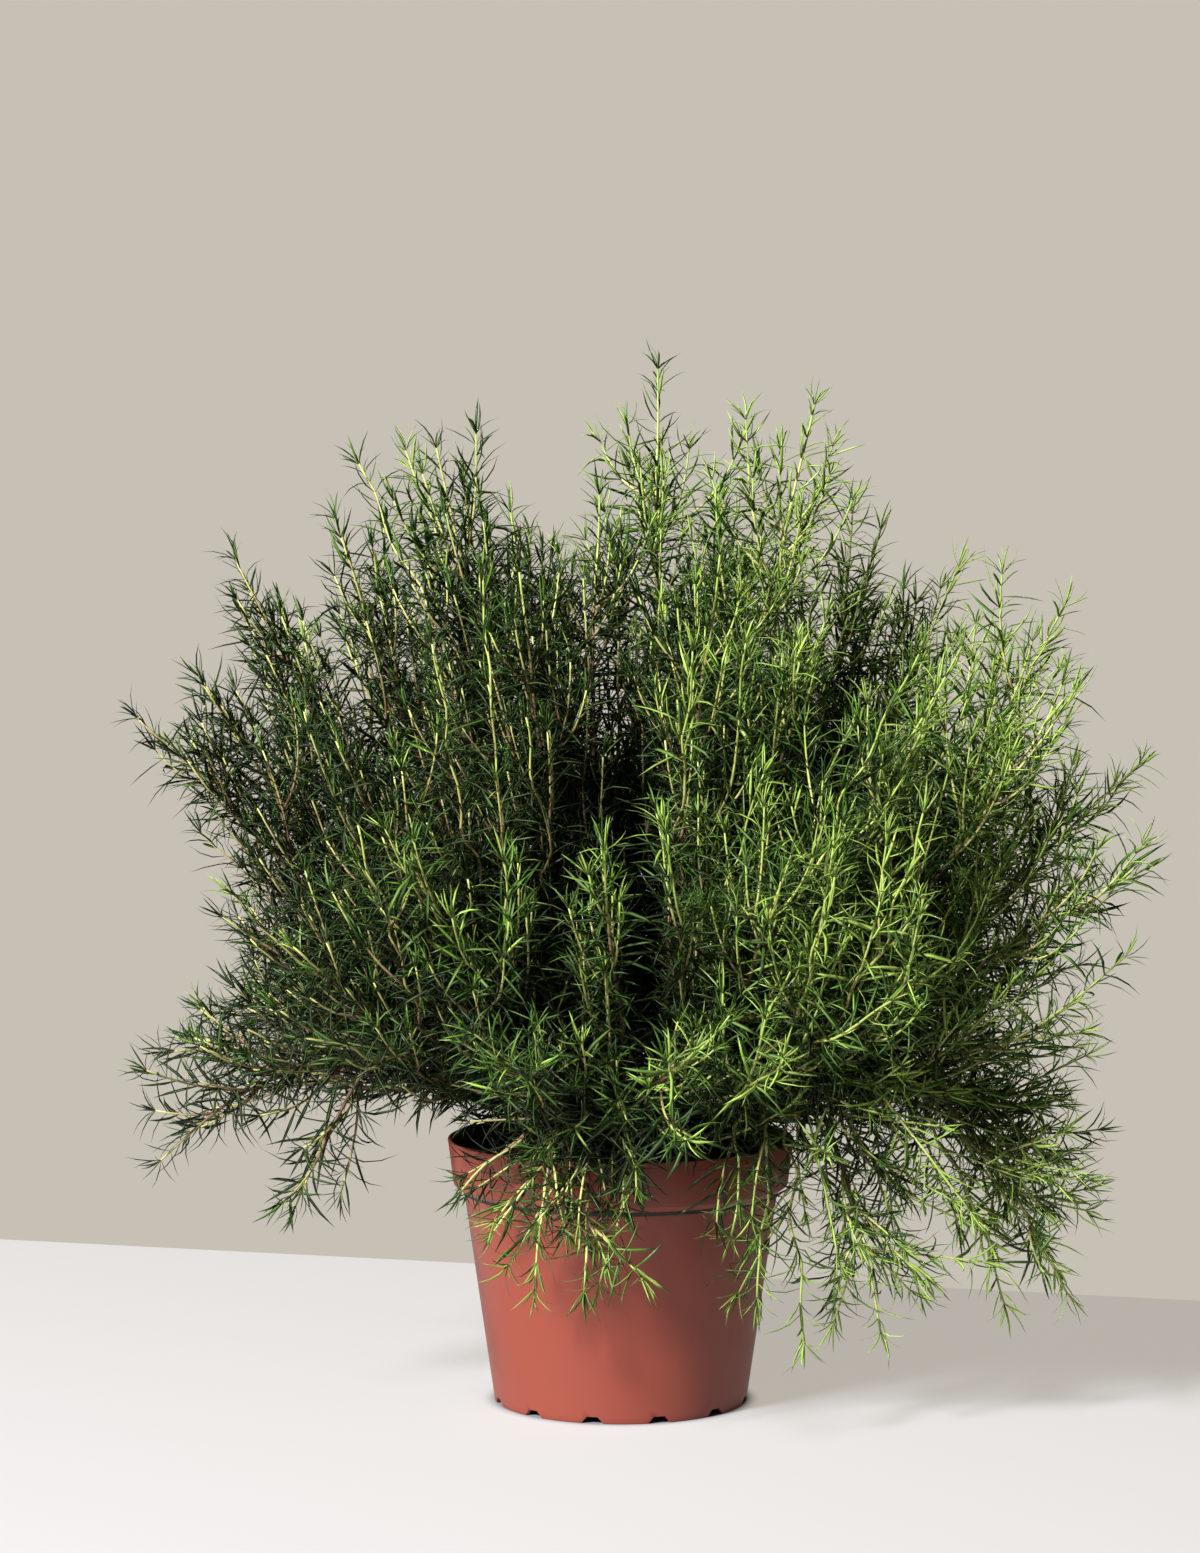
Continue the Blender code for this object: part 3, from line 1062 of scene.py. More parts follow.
@dataclass
class LeafHabit:
    """How a shoot bears its leaves."""

    node_step: float = 0.0064
    length: tuple[float, float] = (0.0210, 0.0320)
    tip_length: float = 0.62
    tip_start: float = 0.82
    tip_span: float = 0.18
    foot_span: float = 0.35
    foot_spread: float = 14.0
    spread: tuple[float, float] = (57.0, 42.0)
    spread_jitter: float = 14.0
    roll_jitter: float = 16.0
    axil_leaves: tuple[int, ...] = (0, 0, 1, 1)
    axil_length: tuple[float, float] = (0.40, 0.80)
    axil_youth: float = 0.2
    axil_roll_jitter: float = 25.0
    tuft: int = 5
    tuft_length: tuple[float, float] = (0.42, 0.68)
    tuft_lean: tuple[float, float] = (10.0, 9.0)
    tuft_youth: float = 0.12
    tone_spread: float = 0.26

    def loosened(self) -> "LeafHabit":
        """The same habit on a hanging branch, whose leaves stand further apart."""
        return replace(self, node_step=self.node_step * 1.15, axil_leaves=(0, 0, 1))

    def set_leaf(
        self,
        bm: bmesh.types.BMesh,
        leaf: bpy.types.Mesh,
        root: Vector,
        along: Vector,
        out: Vector,
        spread: float,
        length: float,
        roll: float,
    ) -> None:
        """Sets one leaf on a stem.

        Args:
            bm: The mesh of the shoot's leaves.
            leaf: The leaf.
            root: Where it grows.
            along: The stem's direction.
            out: The direction away from the stem.
            spread: The angle between leaf and stem, in degrees.
            length: The leaf's length.
            roll: How far it is turned about its own line, in degrees.
        """
        angle = math.radians(spread)
        line = along * math.cos(angle) + out * math.sin(angle)
        upper = along * math.sin(angle) - out * math.cos(angle)
        across = line.cross(upper)
        place = Matrix((across, line, upper)).transposed().to_4x4()
        place = Matrix.Translation(root) @ place @ Matrix.Rotation(math.radians(roll), 4, "Y")
        before = len(bm.verts)
        bm.from_mesh(leaf)
        bm.verts.ensure_lookup_table()
        matrix = place @ Matrix.Scale(length, 4)
        bmesh.ops.transform(bm, matrix=matrix, verts=bm.verts[before:])

    def clothe(self, shoot: Shoot, stock: LeafStock, rng: random.Random) -> bmesh.types.BMesh:
        """Grows a shoot's leaves.

        Args:
            shoot: The shoot.
            stock: The leaves.
            rng: The plant's random numbers.

        Returns:
            The leaves, in place.
        """
        bm = bmesh.new()
        line = replace(shoot, points=evenly(shoot.points, self.node_step))
        frames = line.frames()
        last = len(frames) - 1
        phase = rng.uniform(0.0, math.tau)
        tone = rng.gauss(0.0, self.tone_spread)
        for index in range(last + 1):
            share = index / last
            if share < shoot.bare:
                continue
            along, side, cross = frames[index]
            phase += math.pi / 2 + rng.gauss(0.0, 0.22)
            near_tip = max(0.0, (share - self.tip_start) / self.tip_span)
            young = 1.0 - near_tip * (1.0 - self.tip_length)
            old = max(0.0, 1.0 - share / self.foot_span)
            closing = (self.spread[0] - self.spread[1]) * near_tip
            spread = self.spread[0] + self.foot_spread * old - closing
            size = young * (1.0 - 0.10 * old) * shoot.vigour
            # The leaf's tone takes painted shade from the crown: darker inside and on the left, lighter on
            # the right.
            age_and_shade = line.leaf_age_at(share) + CROWN_SHADE.painted_light_at(line.points[index]) + tone
            for turn in (0.0, math.pi):
                angle = phase + turn + rng.gauss(0.0, 0.15)
                out = side * math.cos(angle) + cross * math.sin(angle)
                root = line.points[index] + out * line.radius_at(share) * 0.6
                length = rng.uniform(*self.length) * size
                lean = spread + rng.gauss(0.0, self.spread_jitter)
                leaf = stock.pick(rng, age_and_shade)
                roll = rng.gauss(0.0, self.roll_jitter)
                self.set_leaf(bm, leaf, root, along, out, lean, length, roll)
                for _ in range(rng.choice(self.axil_leaves)):
                    swing = angle + rng.gauss(0.0, 0.7)
                    out = side * math.cos(swing) + cross * math.sin(swing)
                    lean = spread * rng.uniform(0.35, 0.95) + rng.gauss(0.0, 8.0)
                    small = length * rng.uniform(*self.axil_length)
                    leaf = stock.pick(rng, min(1.0, age_and_shade + self.axil_youth))
                    roll = rng.gauss(0.0, self.axil_roll_jitter)
                    self.set_leaf(bm, leaf, root, along, out, lean, small, roll)
        along, side, cross = frames[last]
        for index in range(self.tuft):
            angle = phase + index * GOLDEN_TURN
            out = side * math.cos(angle) + cross * math.sin(angle)
            length = rng.uniform(*self.tuft_length) * self.length[1] * shoot.vigour
            lean = self.tuft_lean[0] + self.tuft_lean[1] * index + rng.gauss(0.0, 5.0)
            leaf = stock.pick(rng, age_and_shade + self.tuft_youth)
            self.set_leaf(bm, leaf, line.points[last], along, out, lean, length, 0.0)
        return bm


class StemTubes:
    """The round stems of many shoots in one mesh; its map holds their way round and their youth, lowered by
    painted shade.
    """

    sides = 7
    # How much painted shade from the crown darkens and browns the stems.
    shading = 0.60

    def __init__(self) -> None:
        """Starts with no stems."""
        self.bm = bmesh.new()
        self.layer = self.bm.loops.layers.uv.new(SURFACE_MAP)

    def add(self, shoot: Shoot, step: float = 0.009) -> None:
        """Adds a shoot's stem, closed at both ends.

        Args:
            shoot: The shoot.
            step: The distance between its rings.
        """
        line = replace(shoot, points=evenly(shoot.points, step))
        frames = line.frames()
        last = len(frames) - 1
        tube = bmesh.new()
        layer = tube.loops.layers.uv.new(SURFACE_MAP)
        marks = tube.verts.layers.float_vector.new("place")
        rings: list[list[bmesh.types.BMVert]] = []
        for index, (along, side, cross) in enumerate(frames):
            share = index / last
            turned = Matrix((side, cross, along)).transposed().to_4x4()
            matrix = Matrix.Translation(line.points[index]) @ turned
            radius = line.radius_at(share) * (1.0 + 0.12 * noise.noise(line.points[index] * 90.0))
            made = bmesh.ops.create_circle(
                tube, cap_ends=index in (0, last), radius=radius, segments=self.sides, matrix=matrix
            )["verts"]
            # Painted shade: inside the crown and on its left, stems take an older, darker tone.
            age_and_shade = line.age_at(share) + self.shading * min(0.0, CROWN_SHADE.painted_light_at(line.points[index]))
            for number, vert in enumerate(made):
                vert[marks] = (number / self.sides, max(0.0, age_and_shade), 0.0)
            rings.append(made)
        for lower, upper in zip(rings, rings[1:]):
            self.join(tube, lower, upper)
        bmesh.ops.recalc_face_normals(tube, faces=tube.faces)
        for face in tube.faces:
            wraps = {loop.vert[marks][0] for loop in face.loops}
            over = max(wraps) - min(wraps) > 0.5 and len(face.verts) == 4
            for loop in face.loops:
                around, age_and_shade, _ = loop.vert[marks]
                loop[layer].uv = (around + 1.0 if over and around < 0.5 else around, age_and_shade)
        smooth(tube)
        mesh = bpy.data.meshes.new("tube")
        tube.to_mesh(mesh)
        tube.free()
        self.bm.from_mesh(mesh)
        bpy.data.meshes.remove(mesh)

    def join(
        self,
        tube: bmesh.types.BMesh,
        lower: Sequence[bmesh.types.BMVert],
        upper: Sequence[bmesh.types.BMVert],
    ) -> None:
        """Bridges two rings.

        Args:
            tube: The tube's mesh.
            lower: The first ring's vertices.
            upper: The second ring's vertices.
        """
        wanted: list[bmesh.types.BMEdge] = []
        for ring in (lower, upper):
            members = set(ring)
            wanted += {edge for vert in ring for edge in vert.link_edges if set(edge.verts) <= members}
        bmesh.ops.bridge_loops(tube, edges=wanted)


# ---------------------------------------------------------------------------------------------------------
# The plant
# ---------------------------------------------------------------------------------------------------------


@dataclass(frozen=True)
class Spray:
    """A long side shoot: where along its branch it starts, where its tip is, and how far it bows outward."""

    share: float
    tip: Place
    bow: Place = (0.0, -0.020, 0.0)


@dataclass(frozen=True)
class Branch:
    """A branch: its tip, how far its middle stands above a straight line, and its side shoots' habit."""

    tip: Place
    arch: float
    lift: float = 1.6
    fullness: float = 1.0
    reach: float = 1.0
    sprays: tuple[Spray, ...] = ()


@dataclass(frozen=True)
class Stem:
    """A woody stem: where it leaves the potting mix, and the branches that it carries."""

    name: str
    foot: tuple[float, float]
    branches: tuple[Branch, ...]


STEMS = (
    Stem("left", (-0.056, -0.004), (
        Branch((-0.284, -0.012, 0.402), 0.006),
        Branch((-0.252, 0.040, 0.425), 0.000),
        Branch((-0.238, -0.036, 0.292), -0.004, sprays=(
            Spray(0.15, (-0.170, -0.140, 0.395)),
            Spray(0.30, (-0.215, -0.090, 0.300)),
        )),
        Branch((-0.280, 0.010, 0.200), 0.010, 0.55, 1.2, 0.8),
        Branch((-0.266, -0.096, 0.142), 0.046, 0.50, 1.2, 0.55),
        Branch((-0.186, -0.110, 0.112), 0.074, 0.40, 0.6, 0.35),
        Branch((-0.252, 0.070, 0.215), 0.018, 0.55, 1.2, 0.8),
    )),
    Stem("left_back", (-0.040, 0.040), (
        Branch((-0.234, 0.070, 0.498), -0.012),
        Branch((-0.172, 0.060, 0.522), -0.004),
        Branch((-0.212, 0.150, 0.350), -0.010),
        Branch((-0.128, 0.172, 0.450), -0.010),
    )),
    Stem("left_front", (-0.042, -0.036), (
        Branch((-0.162, -0.118, 0.400), -0.010, sprays=(
            Spray(0.10, (-0.102, -0.150, 0.440)),
            Spray(0.05, (-0.090, -0.190, 0.296)),
        )),
        Branch((-0.188, -0.140, 0.285), -0.006, sprays=(
            Spray(0.30, (-0.170, -0.170, 0.230)),
            Spray(0.35, (-0.140, -0.185, 0.345), (-0.01, -0.04, 0.0)),
        )),
        Branch((-0.112, -0.188, 0.330), -0.010, sprays=(
            Spray(0.10, (-0.063, -0.180, 0.325)),
            Spray(0.20, (-0.076, -0.110, 0.480)),
        )),
    )),
    Stem("centre_left", (-0.018, 0.004), (
        Branch((-0.108, -0.016, 0.562), 0.000, sprays=(
            Spray(0.45, (-0.150, 0.000, 0.540)),
            Spray(0.55, (-0.124, 0.016, 0.548)),
            Spray(0.50, (-0.090, 0.010, 0.532)),
        )),
        Branch((-0.066, 0.062, 0.525), 0.000),
        Branch((-0.058, -0.078, 0.490), -0.006, sprays=(
            Spray(0.20, (-0.052, -0.130, 0.400)),
        )),
        Branch((-0.012, 0.010, 0.535), 0.000, fullness=0.8),
    )),
    Stem("centre_right", (0.018, 0.004), (
        Branch((0.022, 0.060, 0.612), 0.000, reach=0.7),
        Branch((0.114, 0.000, 0.588), 0.000),
        Branch((0.070, 0.098, 0.520), -0.004),
        Branch((0.056, -0.070, 0.500), -0.006, sprays=(
            Spray(0.20, (0.038, -0.140, 0.436)),
            Spray(0.10, (0.076, -0.150, 0.370)),
        )),
        Branch((0.115, -0.095, 0.462), -0.008, sprays=(
            Spray(0.25, (0.067, -0.130, 0.440)),
        )),
    )),
    Stem("right_back", (0.040, 0.040), (
        Branch((0.156, 0.050, 0.515), -0.008),
        Branch((0.206, 0.078, 0.494), -0.014),
        Branch((0.222, 0.150, 0.350), -0.012),
        Branch((0.148, 0.190, 0.425), -0.012),
    )),
    Stem("right", (0.056, 0.004), (
        Branch((0.264, 0.026, 0.470), -0.016),
        Branch((0.262, -0.040, 0.420), -0.012),
        Branch((0.308, 0.012, 0.375), -0.008),
        Branch((0.308, -0.046, 0.318), 0.000),
        Branch((0.280, 0.046, 0.250), 0.006, fullness=1.2),
    )),
    Stem("right_low", (0.050, -0.028), (
        Branch((0.264, -0.096, 0.225), 0.006, 0.50, 1.3, 0.9),
        Branch((0.266, 0.008, 0.110), 0.044, 0.45, 1.3, 0.7, (
            Spray(0.40, (0.250, -0.020, 0.140), (0.0, 0.0, 0.02)),
            Spray(0.35, (0.225, 0.040, 0.120), (0.0, 0.0, 0.02)),
        )),
        Branch((0.264, -0.042, 0.046), 0.086, 0.45, 1.2, 0.5, (
            Spray(0.45, (0.215, -0.070, 0.068), (0.0, 0.0, 0.03)),
            Spray(0.35, (0.190, -0.060, 0.110), (0.0, 0.0, 0.03)),
            Spray(0.50, (0.240, -0.010, 0.095), (0.0, 0.0, 0.03)),
            Spray(0.30, (0.150, -0.090, 0.125), (0.0, 0.0, 0.03)),
        )),
        Branch((0.148, -0.104, 0.034), 0.090, 0.35, 1.2, 0.4, (
            Spray(0.28, (0.190, -0.130, 0.130), (0.0, -0.02, 0.04)),
            Spray(0.26, (0.100, -0.118, 0.056), (0.0, 0.0, 0.04)),
            Spray(0.20, (0.074, -0.126, 0.082), (0.0, -0.01, 0.04)),
            Spray(0.18, (0.060, -0.122, 0.116), (0.0, -0.01, 0.04)),
            Spray(0.24, (0.120, -0.112, 0.098), (0.0, -0.01, 0.04)),
            Spray(0.30, (0.165, -0.095, 0.080), (0.0, 0.0, 0.04)),
        )),
    )),
    Stem("right_front", (0.030, -0.044), (
        Branch((0.172, -0.130, 0.410), -0.010, sprays=(
            Spray(0.15, (0.158, -0.165, 0.435)),
            Spray(0.30, (0.185, -0.120, 0.438)),
        )),
        Branch((0.186, -0.172, 0.280), -0.006, sprays=(
            Spray(0.20, (0.142, -0.190, 0.252)),
            Spray(0.05, (0.085, -0.195, 0.222)),
            Spray(0.25, (0.112, -0.192, 0.318), (0.01, -0.04, 0.0)),
            Spray(0.45, (0.158, -0.196, 0.352), (0.01, -0.03, 0.0)),
        )),
        Branch((0.092, -0.195, 0.340), -0.012, sprays=(
            Spray(0.10, (0.024, -0.185, 0.340)),
        )),
    )),
    Stem("front", (0.000, -0.054), (
        Branch((-0.010, -0.212, 0.345), -0.016, fullness=0.8),
        Branch((0.042, -0.206, 0.232), 0.000, 0.40, 1.2),
        Branch((-0.068, -0.210, 0.225), 0.000, 0.40, 1.2),
        Branch((-0.022, -0.150, 0.060), 0.086, 0.20, 1.0, 0.28, (
            Spray(0.12, (-0.048, -0.132, 0.088), (-0.02, -0.02, 0.05)),
            Spray(0.12, (-0.012, -0.134, 0.092), (0.02, -0.02, 0.05)),
            Spray(0.10, (-0.070, -0.122, 0.118), (0.01, -0.02, 0.04)),
            Spray(0.08, (-0.088, -0.104, 0.138), (0.0, -0.02, 0.03)),
            Spray(0.08, (-0.062, -0.126, 0.100), (0.01, -0.02, 0.04)),
            Spray(0.14, (-0.030, -0.140, 0.120), (-0.03, -0.02, 0.03)),
        )),
    )),
    Stem("back", (0.000, 0.054), (
        Branch((0.006, 0.225, 0.375), -0.014),
        Branch((-0.082, 0.236, 0.250), 0.000, 0.40),
        Branch((0.086, 0.236, 0.255), 0.000, 0.40),
        Branch((0.010, 0.228, 0.140), 0.050, 0.20, 1.2, 0.7),
    )),
)


@dataclass
class Rosemary:
    """The whole plant: grows each stem's branches and makes its pieces."""

    fork_height: float = 0.170
    fork_spread: float = 1.15
    trunk_radii: tuple[float, float] = (0.0056, 0.0040)
    mix_height: float = 0.1405
    bare_limb: float = 0.020
    main_radii: tuple[float, float] = (0.0026, 0.0006)
    spray_radii: tuple[float, float] = (0.0012, 0.0006)
    side_radii: tuple[float, float] = (0.0009, 0.0005)
    side_lean: tuple[float, float] = (28.0, 50.0)
    side_start: float = 0.05
    side_span: float = 0.78
    side_tries: int = 6
    bend_at: float = 0.4
    side_step: float = 0.0205
    side_length: tuple[float, float] = (0.090, 0.190)
    side_limit: float = 0.52
    side_least: float = 0.012
    twig_length: tuple[float, float] = (0.040, 0.075)
    left_outward: float = 2.2
    right_outward: float = 0.7
    tip_inset: float = 0.013
    wobble: float = 0.0035
    main_bends: float = 14.0
    spray_bends: float = 34.0
    twig_step: float = 0.045
    most_twigs: int = 4
    basal_count: int = 9
    basal_length: tuple[float, float] = (0.050, 0.105)
    hanging_lift: float = 0.6
    parting: float = 0.008
    parting_width: float = 0.019
    parting_height: tuple[float, float] = (0.215, 0.400)
    lowest: float = 0.018
    leaf_room: float = 0.013
    pot_clearance: float = 0.108
    rim_clearance: float = 0.160
    seed: int = 4

    def fork_of(self, stem: Stem) -> Vector:
        """The point where a stem's trunk divides."""
        return Vector((stem.foot[0] * self.fork_spread, stem.foot[1] * self.fork_spread, self.fork_height))

    def main_line(self, stem: Stem, branch: Branch, rng: random.Random) -> list[Vector]:
        """A branch's line from the fork to its tip, with small natural bends.

        Args:
            stem: The branch's stem.
            branch: The branch.
            rng: The plant's random numbers.

        Returns:
            The points.
        """
        start, end = self.fork_of(stem), Vector(branch.tip)
        middle = (start + end) / 2 + UP * (2 * branch.arch)
        whole = bezier(start, middle, end, 60)
        points = evenly(whole[: round(60 * (1.0 - self.tip_inset / length_of(whole)))], 0.008)
        self.wander(points, self.main_bends, self.wobble * 2.0, rng)
        return points

    def wander(self, points: Sequence[Vector], scale: float, size: float, rng: random.Random) -> None:
        """Gives a line small bends, with its ends held.

        Args:
            points: The line, which is changed.
            scale: How close together the bends are.
            size: How far they go.
            rng: The plant's random numbers.
        """
        shift = Vector([rng.uniform(0, 50) for _ in range(3)])
        last = len(points) - 1
        for index, point in enumerate(points):
            hold = math.sin(math.pi * index / last)
            drift = Vector([noise.noise(point * scale + shift + UP * (31.0 * axis)) for axis in range(3)])
            point += drift * (size * hold)

    def has_room(self, points: Sequence[Vector]) -> bool:
        """Tests a line against the pot, the ground, the parting and the plant's outline.

        Args:
            points: The line.

        Returns:
            True if it stays clear of them all.
        """
        low, high = CAD_BOX
        for point in points:
            in_front = point.y < -0.02 and self.parting_height[0] < point.z < self.parting_height[1]
            middle = self.parting + self.parting_width * noise.noise(UP * point.z * 16.0)
            if in_front and abs(point.x - middle) < self.parting_width / 2:
                return False
            beside = math.hypot(point.x, point.y) > self.pot_clearance
            if point.z < self.lowest or (point.z < self.rim_clearance and not beside):
                return False
            for axis in range(3):
                if axis < 2 and point[axis] < low[axis] + self.leaf_room:
                    return False
                if point[axis] > high[axis] - self.leaf_room:
                    return False
        return True

    def offshoot(
        self,
        parent: Shoot,
        share: float,
        azimuth: float,
        length: float,
        lift: float,
        rng: random.Random,
    ) -> Shoot | None:
        """Grows one shoot from the side of another.

        Args:
            parent: The shoot that it grows from.
            share: How far along that it starts.
            azimuth: The side that it leaves by.
            length: Its length.
            lift: How strongly it turns up.
            rng: The plant's random numbers.

        Returns:
            The shoot, or None if it has no room.
        """
        line = parent.points
        index = min(len(line) - 2, round(share * (len(line) - 1)))
        along, side, cross = parent.frames()[index]
        out = side * math.cos(azimuth) + cross * math.sin(azimuth)
        lean = math.radians(rng.uniform(*self.side_lean))
        leaving = along * math.cos(lean) + out * math.sin(lean)
        leaning = self.right_outward if line[index].x > 0.0 else self.left_outward
        outward = Vector((line[index].x, line[index].y, 0.0)) * leaning
        going = (along * 0.4 + leaving * 0.4 + (UP + outward) * lift).normalized()
        bend = line[index] + leaving * length * self.bend_at
        points = bezier(line[index], bend, bend + going * length * (1.0 - self.bend_at), 12)
        if not self.has_room(points):
            return None
        vigour = rng.uniform(0.86, 1.04)
        return Shoot(points, *self.side_radii, 0.30 + 0.30 * share, bare=0.05, vigour=vigour)

    def side_shoots(self, main: Shoot, branch: Branch, rng: random.Random) -> list[Shoot]:
        """Grows a branch's side shoots, and the twigs of the longer ones.

        Args:
            main: The branch's leading shoot.
            branch: The branch.
            rng: The plant's random numbers.

        Returns:
            The shoots.
        """
        total = length_of(main.points)
        count = round(total / self.side_step * branch.fullness)
        azimuth = rng.uniform(0.0, math.tau)
        found: list[Shoot] = []
        for number in range(count):
            share = self.side_start + self.side_span * (number + rng.uniform(0.1, 0.9)) / count
            reach = rng.uniform(*self.side_length) * (1.15 - 0.55 * share) * branch.reach
            reach = min(reach, (1.0 - share) * total * self.side_limit + self.side_least)
            for _ in range(self.side_tries):
                azimuth += GOLDEN_TURN
                lift = branch.lift * rng.uniform(0.6, 1.4)
                shoot = self.offshoot(main, share, azimuth, reach, lift, rng)
                if shoot:
                    found.append(shoot)
                    found += self.twigs(shoot, reach, branch.lift, rng)
                    break
                reach *= 0.85
        return found

    def twigs(self, shoot: Shoot, reach: float, lift: float, rng: random.Random) -> list[Shoot]:
        """Grows the twigs of a long shoot.

        Args:
            shoot: The shoot.
            reach: Its length.
            lift: How strongly its branch's shoots turn up.
            rng: The plant's random numbers.

        Returns:
            The twigs.
        """
        count = round(reach / self.twig_step)
        places = [0.20 + 0.5 * number * self.twig_step / reach for number in range(count)]
        found: list[Shoot] = []
        for place in places[: self.most_twigs]:
            small = rng.uniform(*self.twig_length)
            start = place + rng.uniform(-0.06, 0.10)
            twig = self.offshoot(shoot, start, rng.uniform(0, math.tau), small, lift * 0.6, rng)
            if twig:
                found.append(twig)
        return found

    def sprays(self, main: Shoot, branch: Branch, rng: random.Random) -> list[Shoot]:
        """Grows a branch's long sprays with their twigs.

        Args:
            main: The branch's leading shoot.
            branch: The branch.
            rng: The plant's random numbers.

        Returns:
            The shoots.
        """
        found: list[Shoot] = []
        for spray in branch.sprays:
            start = main.points[round(spray.share * (len(main.points) - 1))]
            tip = Vector(spray.tip)
            bend = start.lerp(tip, 0.5) + Vector(spray.bow)
            points = bezier(start, bend, tip, 24)
            self.wander(points, self.spray_bends, self.wobble * 3.0, rng)
            shoot = Shoot(points, *self.spray_radii, 0.40, bare=0.05)
            found += [shoot, *self.twigs(shoot, length_of(points), branch.lift, rng)]
        return found

    def basal_shoots(self, stem: Stem, rng: random.Random) -> list[Shoot]:
        """Grows short shoots from a stem's trunk and fork, which hide the trunk.

        Args:
            stem: The stem.
            rng: The plant's random numbers.

        Returns:
            The shoots.
        """
        fork = self.fork_of(stem)
        outward = math.atan2(fork.y, fork.x)
        found: list[Shoot] = []
        for _ in range(self.basal_count * 3):
            start = fork + UP * rng.uniform(-0.016, 0.012)
            azimuth = outward + rng.gauss(0.0, 0.9)
            rise = math.radians(rng.uniform(5, 50))
            level = math.cos(rise)
            going = Vector((math.cos(azimuth) * level, math.sin(azimuth) * level, math.sin(rise)))
            length = rng.uniform(*self.basal_length)
            bend = start + going * length * 0.5
            points = bezier(start, bend, bend + (going + UP * rng.uniform(-0.5, 0.7)) * length * 0.5, 10)
            if self.has_room(points[3:]):
                found.append(Shoot(points, *self.side_radii, 0.4, bare=0.05, vigour=rng.uniform(0.8, 1.0)))
            if len(found) == self.basal_count:
                break
        return found

    def build(self, leaf_skin: LeafSkin, stem_skin: StemSkin) -> None:
        """Makes every leafy and woody piece.

        Args:
            leaf_skin: The leaves' finish.
            stem_skin: The stems' finish.
        """
        stock = LeafStock(leaf_skin)
        habit = LeafHabit()
        leaves, bark = leaf_skin.material(), stem_skin.material()
        for number, stem in enumerate(STEMS):
            rng = random.Random(self.seed * 100 + number)
            tubes = StemTubes()
            fork = self.fork_of(stem)
            foot = Vector((*stem.foot, self.mix_height))
            trunk_line = [foot, foot + UP * 0.004, fork + (fork - foot) * 0.08]
            trunk = Shoot(trunk_line, *self.trunk_radii, foot_age=0.0, tip_age=0.15)
            tubes.add(trunk, 0.004)
            basal = self.basal_shoots(stem, rng)
            for index, branch in enumerate(stem.branches):
                line = self.main_line(stem, branch, rng)
                total = length_of(line)
                main = Shoot(line, *self.main_radii, 0.05, greening=2.6, bare=self.bare_limb / total)
                shoots = [main, *self.side_shoots(main, branch, rng), *self.sprays(main, branch, rng)]
                if index == 0:
                    shoots += basal
                worn = habit.loosened() if branch.lift < self.hanging_lift else habit
                self.make_leaves(f"{stem.name}_{index + 1}", shoots, stock, worn, leaves, rng)
                for shoot in shoots:
                    tubes.add(shoot)
            piece_from(tubes.bm, f"stems_{stem.name}", bark, [f"woody_stem_{stem.name}"])

    def make_leaves(
        self,
        name: str,
        shoots: Sequence[Shoot],
        stock: LeafStock,
        habit: LeafHabit,
        material: bpy.types.Material,
        rng: random.Random,
    ) -> None:
        """Makes the leaves of one branch as one piece.

        Args:
            name: The branch's name.
            shoots: The branch's shoots.
            stock: The leaves.
            habit: How they are borne.
            material: The leaves' material.
            rng: The plant's random numbers.
        """
        whole = bmesh.new()
        mesh = bpy.data.meshes.new("shoot")
        for shoot in shoots:
            clothed = habit.clothe(shoot, stock, rng)
            clothed.to_mesh(mesh)
            clothed.free()
            whole.from_mesh(mesh)
        bpy.data.meshes.remove(mesh)
        piece_from(whole, f"leaves_{name}", material, [f"leafy_branch_{name}"])


# ---------------------------------------------------------------------------------------------------------
# Studio
# ---------------------------------------------------------------------------------------------------------


@dataclass(frozen=True)
class SoftLight:
    """One square soft light: its place, the side of its square, its power in watts and its colour."""

    name: str
    place: Place
    size: float
    power: float
    colour: Colour


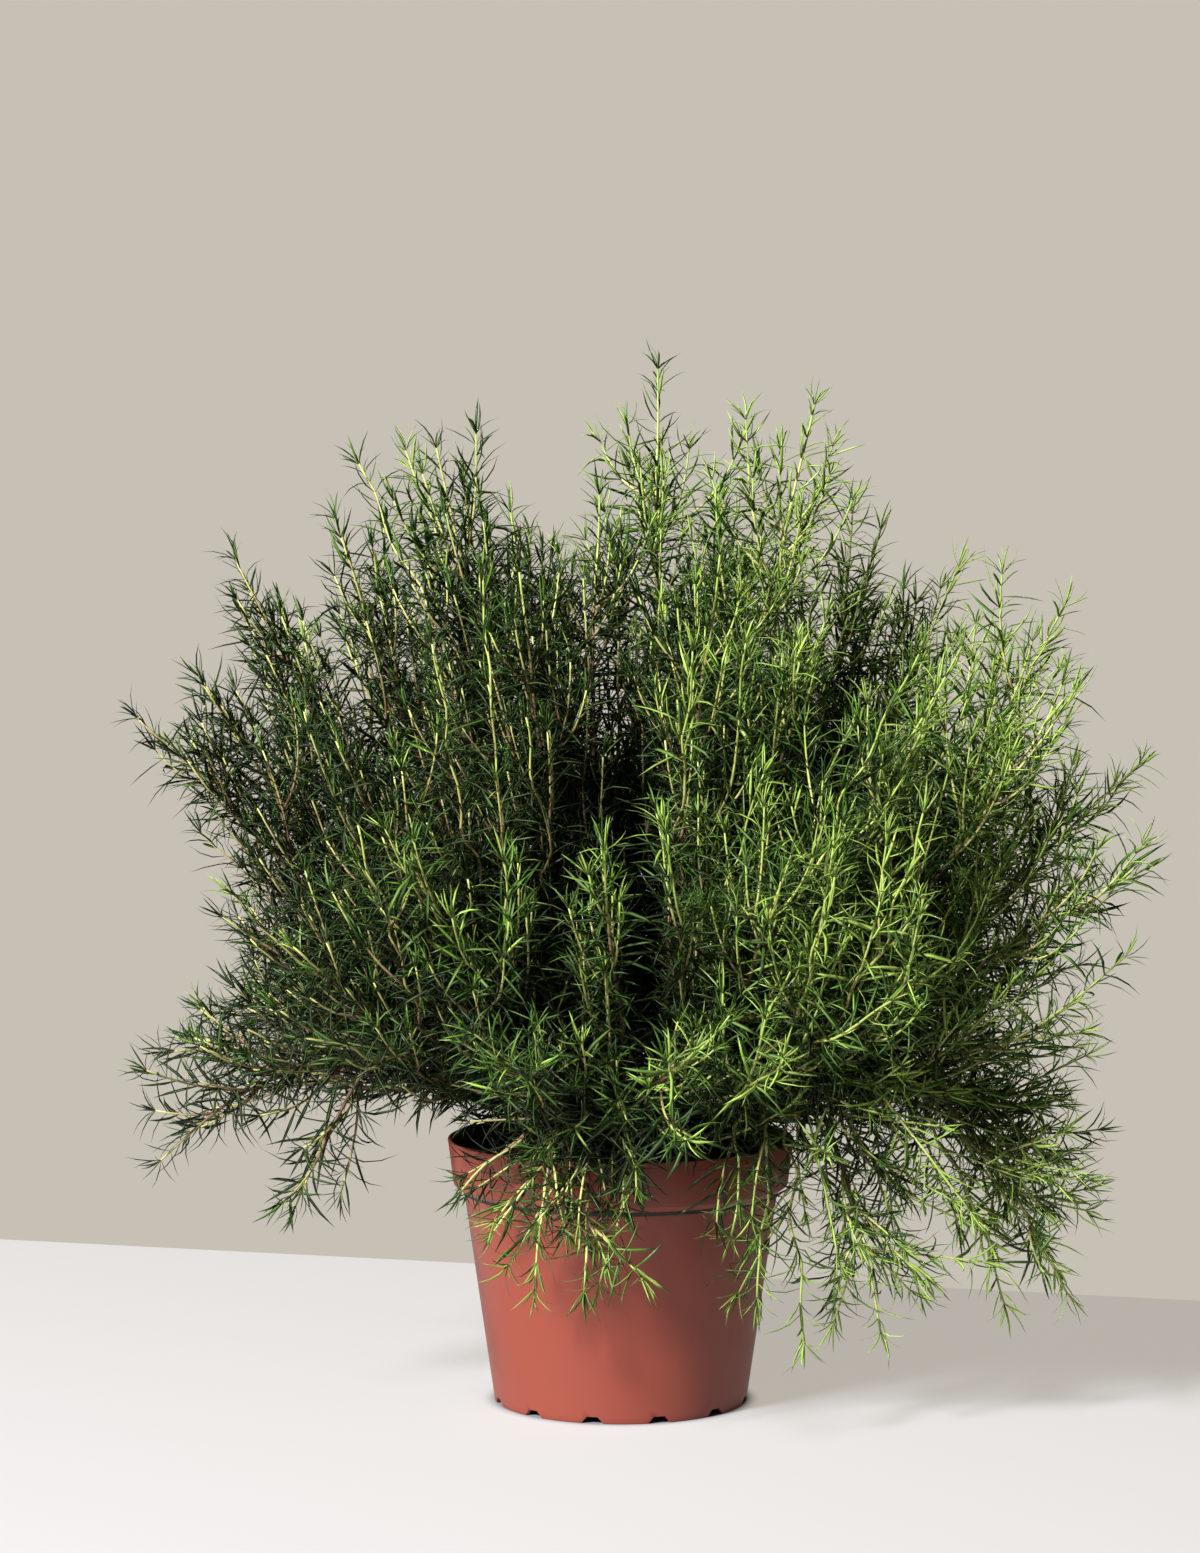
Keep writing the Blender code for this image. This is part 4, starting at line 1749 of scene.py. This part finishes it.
@dataclass
class Studio:
    """The plain floor, the soft lights and the camera."""

    camera_place: Place = (-0.012, -2.28, 0.485)
    camera_pitch: float = math.radians(-3.12)
    lens: float = 92.0
    backdrop: Colour = (0.572, 0.533, 0.462)
    ambient: float = 0.02
    lights: tuple[SoftLight, ...] = (
        SoftLight("key", (-2.6, -2.95, 2.7), 0.7, 640.0, (1.0, 0.98, 0.96)),
        SoftLight("fill", (1.2, -3.4, 1.6), 1.6, 6.0, (0.97, 0.98, 1.0)),
    )
    lights_aim: Place = (0.0, 0.0, 0.28)
    floor_front: float = 0.7
    floor_half_width: float = 1.0
    floor_back: float = 0.41
    floor_turn: float = math.radians(-16.0)

    def add_camera(self) -> None:
        """Adds the camera."""
        data = bpy.data.cameras.new("view")
        data.lens = self.lens
        camera = bpy.data.objects.new("view", data)
        camera.location = self.camera_place
        camera.rotation_euler = (math.pi / 2 + self.camera_pitch, 0.0, 0.0)
        bpy.context.scene.collection.objects.link(camera)
        bpy.context.scene.camera = camera

    def add_floor(self) -> None:
        """Adds the floor, whose far edge lies just behind the plant."""
        bm = bmesh.new()
        bmesh.ops.create_grid(bm, x_segments=1, y_segments=1, size=1.0)
        depth = (self.floor_front + self.floor_back) / 2
        bmesh.ops.scale(bm, vec=(self.floor_half_width, depth, 1.0), verts=bm.verts)
        bmesh.ops.translate(bm, vec=(0.0, self.floor_back - depth, 0.0), verts=bm.verts)
        turn = Matrix.Rotation(self.floor_turn, 3, "Z")
        bmesh.ops.rotate(bm, verts=bm.verts, cent=(0.0, self.floor_back, 0.0), matrix=turn)
        mesh = bpy.data.meshes.new("floor")
        bm.to_mesh(mesh)
        bm.free()
        mesh.materials.append(PaleBoard().material())
        floor = bpy.data.objects.new("floor", mesh)
        bpy.context.scene.collection.objects.link(floor)

    def add_light(self, soft: SoftLight) -> None:
        """Adds a soft light that faces the plant.

        Args:
            soft: The light.
        """
        data = bpy.data.lights.new(soft.name, "AREA")
        data.size = soft.size
        data.energy = soft.power
        data.color = soft.colour
        light = bpy.data.objects.new(soft.name, data)
        light.location = soft.place
        aim = Vector(self.lights_aim) - Vector(soft.place)
        light.rotation_euler = aim.to_track_quat("-Z", "Y").to_euler()
        bpy.context.scene.collection.objects.link(light)

    def add_surroundings(self) -> None:
        """Adds the plain backdrop's colour, which lights the plant less than it shows."""
        world = bpy.data.worlds.new("surroundings")
        bpy.context.scene.world = world
        world.use_nodes = True
        tree = world.node_tree
        back = tree.nodes["Background"]
        back.inputs["Color"].default_value = (*self.backdrop, 1.0)
        seen = tree.nodes.new("ShaderNodeLightPath")
        strength = tree.nodes.new("ShaderNodeMapRange")
        strength.inputs["To Min"].default_value = self.ambient
        strength.inputs["To Max"].default_value = 1.0
        tree.links.new(seen.outputs["Is Camera Ray"], strength.inputs["Value"])
        tree.links.new(strength.outputs["Result"], back.inputs["Strength"])

    def build(self) -> None:
        """Sets up the view."""
        bpy.context.scene.view_settings.view_transform = "Standard"
        self.add_camera()
        self.add_floor()
        for light in self.lights:
            self.add_light(light)
        self.add_surroundings()


def main() -> None:
    """Builds every piece in order."""
    logging.basicConfig(level=logging.INFO, format="%(message)s")
    Studio().build()
    NurseryPot().build(MouldedPlastic())
    PottingMix().build(MoistMix())
    Rosemary().build(LeafSkin(), StemSkin())
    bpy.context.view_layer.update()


if __name__ == "__main__":
    main()
